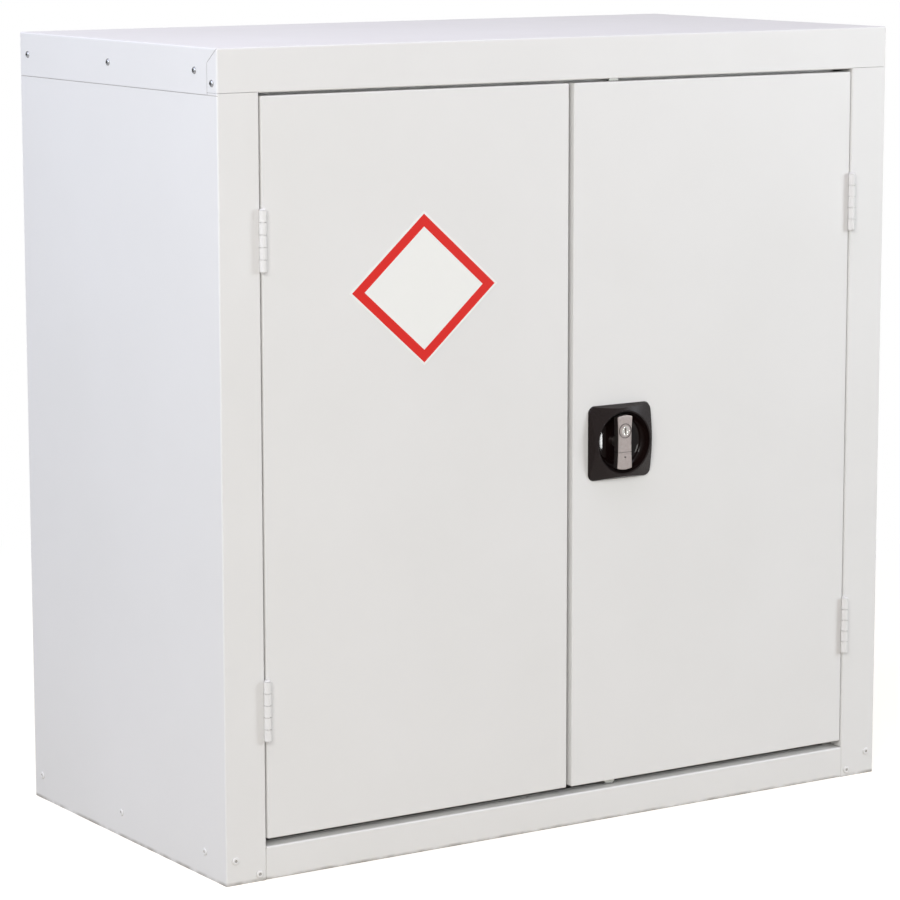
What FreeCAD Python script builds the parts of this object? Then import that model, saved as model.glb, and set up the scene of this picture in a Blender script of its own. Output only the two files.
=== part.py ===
"""Acid storage cabinet: a free-standing two-door steel cupboard with a sump base, a lipped shelf
and a dished rod lock.

Millimetres, +Z up, +X to the right as one faces the doors, +Y from the doors to the back.
The origin is on the floor under the middle of the carcass, at the underside of the sump tray.
"""
import FreeCAD, Part
import Sketcher
import math
import os
from types import SimpleNamespace

# Driving sizes
DRIVING = {
    # carcass
    "cabinet_width": 900, "cabinet_height": 900, "cabinet_depth": 460,
    "sheet_gauge": 1.0, "bend_radius": 1.0, "sheet_slip": 0.1, "seam_gap": 0.4,
    "stile_width": 50, "rebate_depth": 21.5, "stop_lip": 12, "rear_flange": 20,
    "plinth_height": 37, "ledge_flange": 15, "plinth_foot": 20,
    "plinth_tab_reach": 44, "plinth_tab_top": 34,
    # top cap
    "header_drop": 48, "cap_skirt": 46.8, "cap_flange": 49.3, "cap_tab": 21, "cap_bevel": 16,
    "joggle_height": 10,
    # doors
    "door_gauge": 1.0, "door_pan": 20, "door_lip": 12, "door_edge_radius": 1.6,
    "hinge_gap": 2.2, "middle_gap": 7, "door_top_gap": 3.3, "door_bottom_gap": 8.5,
    "relief_width": 9, "stiffener_width": 60, "stiffener_depth": 15, "stiffener_foot": 14,
    "stiffener_short": 25, "strip_overlap": 24, "strip_reach": 5.2, "strip_gauge": 1.0,
    # hinges
    "hinge_length": 66, "knuckle_radius": 4, "hinge_pin_radius": 2.4, "leaf_gauge": 1.0,
    "leaf_depth": 17, "pin_slip": 0.06, "knuckle_gap": 0.4, "knuckle_clear": 0.35,
    "hinge_top_drop": 152, "hinge_foot_rise": 143, "pin_tip": 1.4,
    # lock furniture
    "lock_inset": 63.5, "lock_rise": 441,
    "plate_side": 86, "plate_draft": 4, "plate_corner": 9, "plate_rise": 11,
    "crown_slope_radius": 61, "rim_radius": 37, "dish_radius": 35.2, "dish_floor_radius": 24.2,
    "dish_wall_radius": 31.5, "dish_foot_radius": 30.5, "dish_bow": 0.9, "dish_blend_bow": 1.08,
    "dish_floor": 4, "dish_shell": 2.5, "skin_slip": 0.4,
    "boss_radius": 9, "boss_reach": 11,
    "lever_length": 62.6, "lever_width": 20.6, "lever_waist": 18.4, "lever_end_bulge": 1.9,
    "lever_front": 12.4, "lever_thick": 8, "lever_edge": 1.2, "hub_radius": 7.5, "hub_slip": 0.3,
    "spindle_radius": 5, "shaft_slip": 0.06, "spindle_seat": 2, "square_side": 7,
    "barrel_radius": 5.5, "barrel_rise": 13.4, "barrel_proud": 0.5, "barrel_tail": 4.5,
    "tail_width": 5, "tail_reach": 8.5, "tail_thick": 2, "keyway_width": 2.2, "keyway_height": 7.2,
    "keyway_depth": 3, "ring_radius": 8.5, "ring_width": 1, "groove_depth": 1,
    "seam_drop": 11, "seam_width": 0.8, "dimple_drop": 16.8, "dimple_radius": 1.1,
    # lock mechanism
    "cam_radius": 14, "cam_gauge": 3, "cam_width": 17, "cam_gap": 0.2, "cam_pin_radius": 2.5,
    "cam_pin_over": 0.5, "yoke_clear": 0.65,
    "cam_screw_radius": 4.3, "cam_screw_head": 2.6, "cam_screw_shank": 1.6, "cam_screw_reach": 8,
    "clamp_side": 84, "clamp_gauge": 1.5, "clamp_screw_spacing": 64, "clamp_screw_radius": 2,
    "clamp_screw_head": 3.6, "clamp_screw_high": 2.2, "clamp_screw_bite": 3,
    # rods
    "rod_width": 14, "rod_gauge": 3, "rod_eye_width": 15, "rod_eye_inset": 5, "rod_eye_end": 6,
    "rod_jog_start": 25, "rod_jog_end": 45, "rod_tip_chamfer": 2, "rod_gap": 0.3,
    "top_rod_show": 2.5, "bottom_rod_show": 7.4,
    "rod_slot_length": 28, "rod_slot_width": 5, "rod_slot_shift": 6, "keeper_slip": 0.8,
    "guide_clear": 0.4, "guide_gauge": 1.2, "guide_foot": 10, "guide_length": 16,
    "guide_top_height": 640, "guide_low_height": 240,
    # inside
    "upright_width": 25, "upright_depth": 8, "upright_front": 45, "upright_rear": 50,
    "upright_foot": 3, "upright_top": 840, "upright_slot_length": 12.6, "upright_slot_height": 4,
    "upright_spacing": 25, "upright_first": 30, "shelf_step": 15,
    "clip_width": 12, "clip_gauge": 1.5, "clip_ledge": 16, "clip_hook": 4, "clip_leg": 12,
    "shelf_lip": 25, "shelf_side_gap": 2, "shelf_front": 30, "shelf_rear": 8,
    "buffer_radius": 3.5, "buffer_gap": 0.1,
    # fasteners
    "head_taper": 0.6,
    "cap_screw_head": 4, "cap_screw_high": 2.1, "cap_screw_shank": 1.8, "cap_screw_drop": 25,
    "tab_screw_drop": 37, "tab_screw_inset": 11, "front_screw_inset": 48,
    "rivet_head": 4.3, "rivet_high": 1.6, "rivet_shank": 1.6, "rivet_hole_slip": 0.05,
    "side_rivet_rise": 28.5, "middle_rivet_shift": 11, "middle_screw_shift": 13,
    "end_rivet_inset": 47, "rear_rivet_inset": 20,
    "stile_rivet_inset": 11.6, "stile_rivet_rise": 27,
    "foot_rivet_inset": 41.4, "foot_rivet_rise": 8,
    "back_rivet_inset": 10, "back_rivet_first": 60, "back_rivet_spacing": 180,
}


class Size:
    """A length: its number now, and the expression on the sheet's cells that keeps it current."""

    def __init__(self, number, text):
        self.number = float(number)
        self.text = text

    def join(self, other, sign, number):
        return Size(number, f"({self.text} {sign} {size(other).text})")

    def __add__(self, other):
        return self.join(other, "+", self.number + size(other).number)

    def __sub__(self, other):
        return self.join(other, "-", self.number - size(other).number)

    def __mul__(self, other):
        return self.join(other, "*", self.number * size(other).number)

    def __truediv__(self, other):
        return self.join(other, "/", self.number / size(other).number)

    def __neg__(self):
        return self * -1

    def __radd__(self, other):
        return size(other) + self

    def __rsub__(self, other):
        return size(other) - self

    __rmul__ = __mul__


def size(value):
    """A plain number as a Size."""
    if isinstance(value, Size):
        return value
    return Size(value, f"({value:.9g})" if value < 0 else f"{value:.9g}")


# The document and its sheet
doc = FreeCAD.newDocument("acid_storage_cabinet")
sheet = doc.addObject("Spreadsheet::Sheet", "Sizes")
for row, (alias, number) in enumerate(DRIVING.items(), start=1):
    sheet.set(f"A{row}", alias)
    sheet.set(f"B{row}", f"{number:g}")
    sheet.setAlias(f"B{row}", alias)
doc.recompute()
s = SimpleNamespace(**{alias: Size(number, f"Sizes.{alias}") for alias, number in DRIVING.items()})

# Planes and places that several pieces share
half_width = s.cabinet_width / 2
half_depth = s.cabinet_depth / 2
front = -half_depth
half_opening = half_width - s.stile_width
opening_top = s.cabinet_height - s.header_drop
flange_foot = s.cabinet_height - s.cap_flange
skirt_foot = s.cabinet_height - s.cap_skirt
ledge_depth = s.rebate_depth + s.sheet_gauge
back_inner = half_depth - s.sheet_gauge * 2 - s.sheet_slip
wall_inner = half_width - s.sheet_gauge
joggle_outer = s.sheet_gauge + s.sheet_slip
fold_clear = s.bend_radius + s.sheet_slip
door_width = half_opening - s.hinge_gap - s.middle_gap / 2
door_foot = s.plinth_height + s.door_bottom_gap
door_top = opening_top - s.door_top_gap
door_height = door_top - door_foot
hinge_x = half_opening - s.hinge_gap / 2
hinge_y = front - s.knuckle_radius
hinge_heights = {"upper": door_top - s.hinge_top_drop, "lower": door_foot + s.hinge_foot_rise}
lock_x = s.middle_gap / 2 + s.lock_inset
lock_z = s.lock_rise
cam_front = front + s.boss_reach + s.cam_gap
cam_back = cam_front + s.cam_gauge
rod_front = cam_back + s.rod_gap
rod_back = rod_front + s.rod_gauge
rod_middle = rod_front + s.rod_gauge / 2
pin_offset = s.cam_radius * math.sin(math.radians(45))
top_rod_end = door_top + s.top_rod_show
bottom_rod_end = door_foot - s.bottom_rod_show
upright_face = wall_inner - s.upright_depth
upright_base = s.plinth_height + s.upright_foot
upright_height = s.upright_top - upright_base
shelf_slot = upright_base + s.upright_first + s.upright_spacing * s.shelf_step
clip_top = shelf_slot + s.clip_gauge
upright_places = {"front": front + s.upright_front, "rear": half_depth - s.upright_rear}
header_stop_foot = opening_top - s.stop_lip
clamp_half = s.clamp_screw_spacing / 2
sump_top = s.plinth_height

parts = []


# Building blocks
def place(item, x=0, y=0, z=0):
    """Binds the item's position."""
    for axis, value in (("x", x), ("y", y), ("z", z)):
        item.setExpression(f"Placement.Base.{axis}", size(value).text)
    return item


def turn(item, axis, degrees):
    """Turns the item about one of its own axes."""
    item.Placement = FreeCAD.Placement(FreeCAD.Vector(), FreeCAD.Rotation(FreeCAD.Vector(*axis), degrees))
    return item


def box(name, x, y, z):
    """A block from three (low, high) pairs."""
    item = doc.addObject("Part::Box", name)
    for prop, (low, high) in (("Length", x), ("Width", y), ("Height", z)):
        item.setExpression(prop, (size(high) - low).text)
    return place(item, x[0], y[0], z[0])


def rod(name, along, centre, radius, length):
    """A round bar that starts at centre and runs along +X, +Y or +Z."""
    item = doc.addObject("Part::Cylinder", name)
    item.setExpression("Radius", size(radius).text)
    item.setExpression("Height", size(length).text)
    if along == "X":
        turn(item, (0, 1, 0), 90)
    elif along == "Y":
        turn(item, (1, 0, 0), -90)
    return place(item, *centre)


def tapered_head(name, outwards, centre, radius, high):
    """A low tapered head on its flat side, which lies at centre and faces away from outwards."""
    item = doc.addObject("Part::Cone", name)
    for prop, value in (("Radius1", radius), ("Radius2", radius * s.head_taper), ("Height", high)):
        item.setExpression(prop, size(value).text)
    turns = {"-X": ((0, 1, 0), -90), "+X": ((0, 1, 0), 90), "-Y": ((1, 0, 0), 90), "+Y": ((1, 0, 0), -90),
             "+Z": ((0, 0, 1), 0), "-Z": ((1, 0, 0), 180)}
    turn(item, *turns[outwards])
    return place(item, *centre)


def group(kind, name, items):
    """A union, a common part or a loose group of several items."""
    item = doc.addObject(kind, name)
    if kind == "Part::Compound":
        item.Links = items
    else:
        item.Shapes = items
        item.Refine = True
    return item


def fuse(name, *items):
    return group("Part::MultiFuse", name, list(items))


def common(name, *items):
    return group("Part::MultiCommon", name, list(items))


def several(name, *items):
    return group("Part::Compound", name, list(items))


def cut(name, base, *tools):
    """The base less every tool."""
    item = doc.addObject("Part::Cut", name)
    item.Base = base
    item.Tool = tools[0] if len(tools) == 1 else fuse(name + "_tools", *tools)
    item.Refine = True
    return item


def mirrored(name, source):
    """The same piece on the other side of the cabinet's middle plane."""
    item = doc.addObject("Part::Mirroring", name)
    item.Source = source
    item.Normal = FreeCAD.Vector(1, 0, 0)
    return item


def rounded(name, base, radius, chosen):
    """The base with the edges that chosen picks rounded."""
    doc.recompute()
    item = doc.addObject("Part::Fillet", name)
    item.Base = base
    reach = size(radius).number
    edges = enumerate(base.Shape.Edges, start=1)
    item.Edges = [(index, reach, reach) for index, edge in edges if chosen(edge)]
    return item


def pan(name, x, y, z, open_side, wall, radius):
    """A folded tray with rounded outer edges, open on one side: "+Y", "+Z" or "-Z"."""
    axis = "XYZ".index(open_side[1])
    rim = (x, y, z)[axis][1 if open_side[0] == "+" else 0]

    def away_from_rim(edge):
        return any(abs(vertex.Point[axis] - size(rim).number) > 0.01 for vertex in edge.Vertexes)

    outer = rounded(name + "_outside", box(name + "_block", x, y, z), radius, away_from_rim)
    spans = [[size(low) + wall, size(high) - wall] for low, high in (x, y, z)]
    if open_side[0] == "+":
        spans[axis][1] = size(rim) + wall
    else:
        spans[axis][0] = size(rim) - wall
    inner = box(name + "_inside", *spans)
    if size(radius).number > size(wall).number:
        inner = rounded(name + "_inside_round", inner, size(radius) - wall, away_from_rim)
    return cut(name + "_pan", outer, inner)


def body_plane(body, role):
    """One of the body's own origin planes."""
    return next(item for item in body.Origin.OriginFeatures if item.Role == role)


def fixed(sketch, geometry, end, x, y):
    """Fixes one end of a line or arc at a place on the sketch, with both distances bound."""
    for kind, value in (("DistanceX", x), ("DistanceY", y)):
        index = sketch.addConstraint(Sketcher.Constraint(kind, -1, 1, geometry, end, size(value).number))
        sketch.setExpression(f"Constraints[{index}]", size(value).text)


def new_sketch(body, name, role):
    sketch = body.newObject("Sketcher::SketchObject", name)
    sketch.AttachmentSupport = (body_plane(body, role), [""])
    sketch.MapMode = "FlatFace"
    return sketch


def outline(body, name, role, points, bulges=None):
    """A closed sketch through the points; bulges gives the rise of an arc by the line's number,
    to the right of its direction."""
    sketch = new_sketch(body, name, role)
    bulges = bulges or {}
    count = len(points)
    flat = [FreeCAD.Vector(size(x).number, size(y).number, 0) for x, y in points]
    ends = {i: (1, 2) for i in range(count)}
    for i in range(count):
        a, b = flat[i], flat[(i + 1) % count]
        if i not in bulges:
            sketch.addGeometry(Part.LineSegment(a, b), False)
            continue
        step, rise = b - a, size(bulges[i]).number
        middle = (a + b) * 0.5 + FreeCAD.Vector(step.y, -step.x, 0).normalize() * rise
        if rise < 0:
            a, b, ends[i] = b, a, (2, 1)
        sketch.addGeometry(Part.Arc(a, middle, b), False)
    for i in range(count):
        follower = (i + 1) % count
        sketch.addConstraint(Sketcher.Constraint("Coincident", i, ends[i][1], follower, ends[follower][0]))
        fixed(sketch, i, ends[i][0], *points[i])
    for i, rise in bulges.items():
        (x1, y1), (x2, y2) = points[i], points[(i + 1) % count]
        dx, dy, rise = size(x2) - x1, size(y2) - y1, size(rise)
        rise = rise if rise.number > 0 else -rise
        radius = (dx * dx + dy * dy + rise * rise * 4) / (rise * 8)
        index = sketch.addConstraint(Sketcher.Constraint("Radius", i, radius.number))
        sketch.setExpression(f"Constraints[{index}]", radius.text)
    return sketch


def extrude(body, sketch, name, length, backwards=False):
    pad = body.newObject("PartDesign::Pad", name)
    pad.Profile = sketch
    pad.setExpression("Length", size(length).text)
    pad.Reversed = backwards
    return pad


def plate(name, role, points, length, bulges=None, backwards=False):
    """A body: one closed outline given a thickness."""
    body = doc.addObject("PartDesign::Body", name)
    extrude(body, outline(body, name + "_outline", role, points, bulges), name + "_pad", length, backwards)
    return body


def along_edges(shape, spots, free_axis):
    """Names of the straight edges that run along free_axis through one of the spots."""
    fixed_axes = [axis for axis in range(3) if axis != free_axis]
    names = []
    for index, edge in enumerate(shape.Edges, start=1):
        ends = [vertex.Point for vertex in edge.Vertexes]
        if len(ends) != 2 or edge.Curve.TypeId != "Part::GeomLine":
            continue
        for spot in spots:
            if all(abs(end[axis] - value) < 0.005 for end in ends for axis, value in zip(fixed_axes, spot)):
                names.append(f"Edge{index}")
    return names


def folded(name, role, path, length, gauge, bend):
    """A bent sheet: the path is its outer line, square at each fold, with the metal on the left of
    the way it runs. The body runs along the plane's normal from the plane, and its folds are round."""
    flat = [(size(x).number, size(y).number) for x, y in path]
    ways = []
    for a, b in zip(flat, flat[1:]):
        run = math.hypot(b[0] - a[0], b[1] - a[1])
        ways.append((round((b[0] - a[0]) / run), round((b[1] - a[1]) / run)))
    inner = []
    for i, (x, y) in enumerate(path):
        near = [ways[k] for k in (i - 1, i) if 0 <= k < len(ways)]
        shift = (sum(-way[1] for way in near), sum(way[0] for way in near))
        inner.append((size(x) + gauge * shift[0], size(y) + gauge * shift[1]))
    body = doc.addObject("PartDesign::Body", name)
    sketch = outline(body, name + "_section", role, list(path) + inner[::-1])
    tip = extrude(body, sketch, name + "_pad", length, backwards=(role == "XZ_Plane"))
    doc.recompute()
    spots = {"wide": [], "tight": []}
    for i in range(1, len(path) - 1):
        left_turn = ways[i - 1][0] * ways[i][1] - ways[i - 1][1] * ways[i][0] > 0
        spots["wide" if left_turn else "tight"].append(tuple(size(v).number for v in path[i]))
        spots["tight" if left_turn else "wide"].append(tuple(size(v).number for v in inner[i]))
    free_axis = {"XY_Plane": 2, "XZ_Plane": 1, "YZ_Plane": 0}[role]
    for kind, radius in (("wide", bend + gauge), ("tight", bend)):
        edges = along_edges(tip.Shape, spots[kind], free_axis)
        round_fold = body.newObject("PartDesign::Fillet", f"{name}_{kind}_folds")
        round_fold.Base = (tip, edges)
        round_fold.setExpression("Radius", size(radius).text)
        doc.recompute()
        tip = round_fold
    return body


def finish(label, item):
    """Enters a finished piece under its name."""
    item.Label = label
    parts.append(item)
    return item


# Screw and rivet places on one side, as (depth behind the front, height)
side_screws = [
    (s.tab_screw_inset, s.cabinet_height - s.tab_screw_drop),
    (s.front_screw_inset, s.cabinet_height - s.cap_screw_drop),
    (s.cabinet_depth / 2 + s.middle_screw_shift, s.cabinet_height - s.cap_screw_drop),
    (s.cabinet_depth - s.rear_rivet_inset, s.cabinet_height - s.cap_screw_drop),
]
side_rivets = [
    (s.end_rivet_inset, s.side_rivet_rise),
    (s.cabinet_depth / 2 + s.middle_rivet_shift, s.side_rivet_rise),
    (s.cabinet_depth - s.rear_rivet_inset, s.side_rivet_rise),
]
stile_rivets = [(s.stile_rivet_inset, s.stile_rivet_rise), (s.foot_rivet_inset, s.foot_rivet_rise)]
back_rivet_count = int((flange_foot.number - s.back_rivet_first.number) // s.back_rivet_spacing.number) + 1
back_rivets = [s.back_rivet_first + s.back_rivet_spacing * i for i in range(back_rivet_count)]


def side_holes(name, places, radius):
    """Holes through both side walls and whatever lies just inside them."""
    reach = s.sheet_gauge * 4
    holes = []
    for i, (depth, height) in enumerate(places):
        for side, start in (("left", -half_width - 1), ("right", half_width - reach + 1)):
            holes.append(rod(f"{name}_{side}_{i}", "X", (start, front + depth, height), radius, reach))
    return holes


def stile_holes(name):
    """Holes through the feet of both stiles and the plinth's tabs behind them."""
    holes = []
    for i, (inset, height) in enumerate(stile_rivets):
        for side in (-1, 1):
            centre = ((half_width - inset) * side, front - 1, height)
            holes.append(rod(f"{name}_{i}_{side + 1}", "Y", centre, rivet_hole, s.sheet_gauge * 4))
    return holes


def back_holes(name):
    """Holes through the rear flanges and the back panel."""
    holes = []
    for i, height in enumerate(back_rivets):
        for side in (-1, 1):
            centre = ((half_width - s.back_rivet_inset) * side, back_inner - 1, height)
            holes.append(rod(f"{name}_{i}_{side + 1}", "Y", centre, rivet_hole, s.sheet_gauge * 4 + 1))
    return holes


rivet_hole = s.rivet_shank + s.rivet_hole_slip
screw_hole = s.cap_screw_shank + s.rivet_hole_slip


# Carcass
def side_panel():
    """Side sheet, rear flange, stile, and the stile's return with its stop lip, from one blank."""
    path = [
        (s.rear_flange, s.cabinet_depth), (0, s.cabinet_depth), (0, 0), (s.stile_width, 0),
        (s.stile_width, s.rebate_depth), (s.stile_width + s.stop_lip, s.rebate_depth),
    ]
    stile_top = skirt_foot - s.seam_gap
    sheet = folded("side_sheet", "XY_Plane", path, stile_top, s.sheet_gauge, s.bend_radius)
    place(sheet, -half_width, front, 0)
    side_x = (-half_width - 1, -half_width + s.rear_flange + 1)
    deep = (front + s.cap_tab, half_depth + 1)
    under_flange = box("cap_flange_room", side_x, deep, (flange_foot - s.seam_gap, s.cabinet_height))
    inside_x = (-half_opening - s.sheet_gauge * 3, -half_opening + s.stop_lip + 1)
    behind = (front + s.sheet_gauge, front + ledge_depth + 1)
    plinth_room = box("plinth_room", inside_x, behind, (-1, s.plinth_height + s.seam_gap))
    lip_x = (-half_opening, -half_opening + s.stop_lip + 1)
    header_room = box("header_room", lip_x, behind, (header_stop_foot - s.seam_gap, s.cabinet_height))
    upper_x = (-half_width + joggle_outer, -half_width + joggle_outer + s.sheet_gauge)
    upper_y = (front + s.sheet_gauge + s.bend_radius, back_inner - s.sheet_slip)
    step_foot = flange_foot - s.seam_gap - s.joggle_height
    upper = box("joggled_edge", upper_x, upper_y,
                (step_foot, s.cabinet_height - s.sheet_gauge - fold_clear))
    step = box("joggle_step", (-half_width + s.sheet_gauge / 2, -half_width + joggle_outer + s.sheet_gauge),
               upper_y, (step_foot, step_foot + s.joggle_height / 2))
    trimmed = cut("side_trimmed", sheet, under_flange, plinth_room, header_room)
    return cut("left_side", fuse("side_joined", trimmed, upper, step),
               *side_holes("side_screw_hole", side_screws, screw_hole),
               *side_holes("side_rivet_hole", side_rivets, rivet_hole),
               *stile_holes("side_stile_hole"), *back_holes("side_back_hole"))


left_side_panel = finish("left_side_panel", side_panel())
finish("right_side_panel", mirrored("right_side", left_side_panel))

panel_half = wall_inner - s.sheet_slip
back_plane = (back_inner, back_inner + s.sheet_gauge)
finish("back_panel", cut(
    "back_sheet",
    box("back_blank", (-wall_inner + fold_clear, wall_inner - fold_clear), back_plane,
        (0, s.cabinet_height - s.sheet_gauge - fold_clear)),
    *back_holes("back_panel_hole")))


def rod_opening(name, x, half_length, half_width_y, heights):
    return box(name, (size(x) - half_length, size(x) + half_length),
               (rod_middle - half_width_y, rod_middle + half_width_y), heights)


def keeper_openings(name, heights):
    """A snug hole for the rod on the lock side, and the spare slot of the other hand."""
    snug = rod_opening(name + "_keeper", lock_x, s.rod_width / 2 + s.keeper_slip,
                       s.rod_gauge / 2 + s.keeper_slip, heights)
    spare = rod_opening(name + "_spare", -lock_x + s.rod_slot_shift, s.rod_slot_length / 2,
                        s.rod_slot_width / 2, heights)
    return [snug, spare]


def plinth_rail():
    """Foot, face, ledge and rear flange from one strip, with a tab behind each stile."""
    path = [
        (ledge_depth, s.plinth_height - s.ledge_flange), (ledge_depth, s.plinth_height),
        (0, s.plinth_height), (0, 0), (s.plinth_foot, 0),
    ]
    length = (half_opening - s.seam_gap) * 2
    rail = folded("plinth_section", "YZ_Plane", path, length, s.sheet_gauge, s.bend_radius)
    place(rail, -(half_opening - s.seam_gap), front, 0)
    pieces = [rail]
    tab_y = (front + s.sheet_gauge + s.sheet_slip / 2, front + s.sheet_gauge * 2 + s.sheet_slip / 2)
    for side in (-1, 1):
        end = half_opening - s.seam_gap
        reach = end + s.plinth_tab_reach
        tab_z = (s.sheet_gauge, s.plinth_tab_top)
        low, high = sorted((end * side - 8 * side, reach * side), key=lambda value: value.number)
        pieces.append(box(f"plinth_tab_{side + 1}", (low, high), tab_y, tab_z))
        low, high = sorted((end * side, end * side - 8 * side), key=lambda value: value.number)
        joggle_y = (front + s.sheet_gauge / 2, tab_y[1])
        pieces.append(box(f"plinth_joggle_{side + 1}", (low, high), joggle_y, tab_z))
    slots = keeper_openings("ledge", (s.plinth_height - s.sheet_gauge * 2, s.plinth_height + 1))
    return cut("plinth", fuse("plinth_joined", *pieces), *slots, *stile_holes("plinth_stile_hole"))


finish("plinth_rail", plinth_rail())

sump = pan("sump", (-panel_half, panel_half), (front + ledge_depth + s.sheet_slip, back_inner - s.sheet_slip),
           (0, sump_top), "+Z", s.sheet_gauge, s.sheet_gauge + s.bend_radius)
finish("base_sump", cut("sump_drilled", sump, *side_holes("sump_rivet_hole", side_rivets, rivet_hole)))


# Top cap
def header_section():
    """The front skirt's lower edge: it turns back over the doors and down as a stop lip."""
    path = [
        (0, s.cap_skirt / 2), (0, 0), (s.rebate_depth, 0), (s.rebate_depth, -s.stop_lip),
    ]
    half = half_opening - s.seam_gap
    section = folded("header_fold", "YZ_Plane", path, half * 2, s.sheet_gauge, s.bend_radius)
    place(section, -half, front, opening_top)
    ends = []
    for side in (-1, 1):
        inner = half_opening - s.stop_lip - s.seam_gap
        low, high = sorted((inner * side, (half_opening + 1) * side), key=lambda value: value.number)
        ends.append(box(f"stop_end_{side + 1}", (low, high),
                        (front + s.rebate_depth - s.bend_radius, front + ledge_depth + 1),
                        (header_stop_foot - 1, opening_top + s.sheet_gauge + s.bend_radius)))
    return cut("header_trimmed", section, *ends)


def tab_seams():
    """The shallow seams round each corner tab: its rear edge and its bevelled top edge."""
    depth = s.sheet_gauge * 0.6
    rear = s.cap_tab + s.seam_gap
    top = s.cabinet_height - s.cap_bevel
    outline_points = [
        (0, s.cabinet_height), (rear, top), (rear, skirt_foot - 1), (s.cap_tab, skirt_foot - 1),
        (s.cap_tab, top - s.seam_gap / 2), (0, s.cabinet_height - s.seam_gap * 1.5),
    ]
    seams = []
    for side, x in (("left", -half_width - 1), ("right", half_width - depth)):
        seam = plate(f"{side}_seam", "YZ_Plane", outline_points, depth + 1)
        seams.append(place(seam, x, front, 0))
    return seams


def top_cap():
    cap = pan("cap", (-half_width, half_width), (front, half_depth), (flange_foot, s.cabinet_height),
              "-Z", s.sheet_gauge, s.sheet_gauge + s.bend_radius)
    short_front = box("front_skirt_room", (-half_width - 1, half_width + 1), (front - 1, front + s.cap_tab),
                      (flange_foot - 1, skirt_foot))
    skirted = cut("cap_skirted", cap, short_front)
    joined = fuse("cap_joined", skirted, header_section())
    slots = keeper_openings("header", (opening_top - 1, opening_top + s.sheet_gauge * 2))
    return cut("cap_finished", joined, *tab_seams(), *slots,
               *side_holes("cap_screw_hole", side_screws, screw_hole))


finish("top_cap", top_cap())


# Fasteners, each with its head on the outside
def side_fasteners(name, places, head, high, shank):
    items = []
    reach = s.sheet_gauge * 2 + s.sheet_slip
    for i, (depth, height) in enumerate(places):
        for side, outwards in ((-1, "-X"), (1, "+X")):
            wall = half_width * side
            start = wall if side < 0 else wall - reach
            y = front + depth
            items.append(fuse(f"{name}_{i}_{side + 1}",
                              tapered_head(f"{name}_head_{i}_{side + 1}", outwards, (wall, y, height),
                                           head, high),
                              rod(f"{name}_shank_{i}_{side + 1}", "X", (start, y, height), shank, reach)))
    return items


finish("cap_screws", several("cap_screw_group", *side_fasteners(
    "cap_screw", side_screws, s.cap_screw_head, s.cap_screw_high, s.cap_screw_shank)))


def stile_rivet_items():
    items = []
    reach = s.sheet_gauge * 2 + s.sheet_slip
    for i, (inset, height) in enumerate(stile_rivets):
        for side in (-1, 1):
            x = (half_width - inset) * side
            items.append(fuse(f"stile_rivet_{i}_{side + 1}",
                              tapered_head(f"stile_rivet_head_{i}_{side + 1}", "-Y", (x, front, height),
                                   s.rivet_head, s.rivet_high),
                              rod(f"stile_rivet_shank_{i}_{side + 1}", "Y", (x, front, height),
                                  s.rivet_shank, reach)))
    return items


finish("base_rivets", several("base_rivet_group", *stile_rivet_items(), *side_fasteners(
    "base_rivet", side_rivets, s.rivet_head, s.rivet_high, s.rivet_shank)))


def back_rivet_items():
    items = []
    reach = s.sheet_gauge * 2 + s.sheet_slip
    for i, height in enumerate(back_rivets):
        for side in (-1, 1):
            x = (half_width - s.back_rivet_inset) * side
            items.append(fuse(f"back_rivet_{i}_{side + 1}",
                              tapered_head(f"back_rivet_head_{i}_{side + 1}", "+Y", (x, half_depth, height),
                                   s.rivet_head, s.rivet_high),
                              rod(f"back_rivet_shank_{i}_{side + 1}", "Y", (x, half_depth - reach, height),
                                  s.rivet_shank, reach)))
    return items


finish("back_rivets", several("back_rivet_group", *back_rivet_items()))


# Shelf furniture
def slotted_upright(name):
    """A channel with a ladder of slots in its web, which faces the inside."""
    path = [
        (0, 0), (s.upright_depth, 0), (s.upright_depth, s.upright_width), (0, s.upright_width),
    ]
    body = folded(name, "XY_Plane", path, upright_height, s.sheet_gauge, s.bend_radius)
    middle = s.upright_width / 2
    half_slot = s.upright_slot_length / 2
    foot = s.upright_first
    points = [
        (middle - half_slot, foot), (middle + half_slot, foot),
        (middle + half_slot, foot + s.upright_slot_height),
        (middle - half_slot, foot + s.upright_slot_height),
    ]
    slot = body.newObject("PartDesign::Pocket", name + "_slot")
    slot.Profile = outline(body, name + "_slot_outline", "YZ_Plane", points)
    slot.Type = "ThroughAll"
    slot.Reversed = True
    doc.recompute()
    ladder = body.newObject("PartDesign::LinearPattern", name + "_ladder")
    ladder.Originals = [slot]
    ladder.Direction = (body_plane(body, "XY_Plane"), [""])
    ladder.Mode = "Spacing"
    ladder.setExpression("Offset", s.upright_spacing.text)
    room = upright_height.number - 2 * s.upright_first.number
    ladder.Occurrences = int(room // s.upright_spacing.number) + 1
    body.Tip = ladder
    return body


for end, y in upright_places.items():
    left_upright = place(slotted_upright(f"{end}_upright"), -wall_inner, y, upright_base)
    finish(f"left_{end}_upright", left_upright)
    finish(f"right_{end}_upright", mirrored(f"right_{end}_upright_copy", left_upright))


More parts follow.
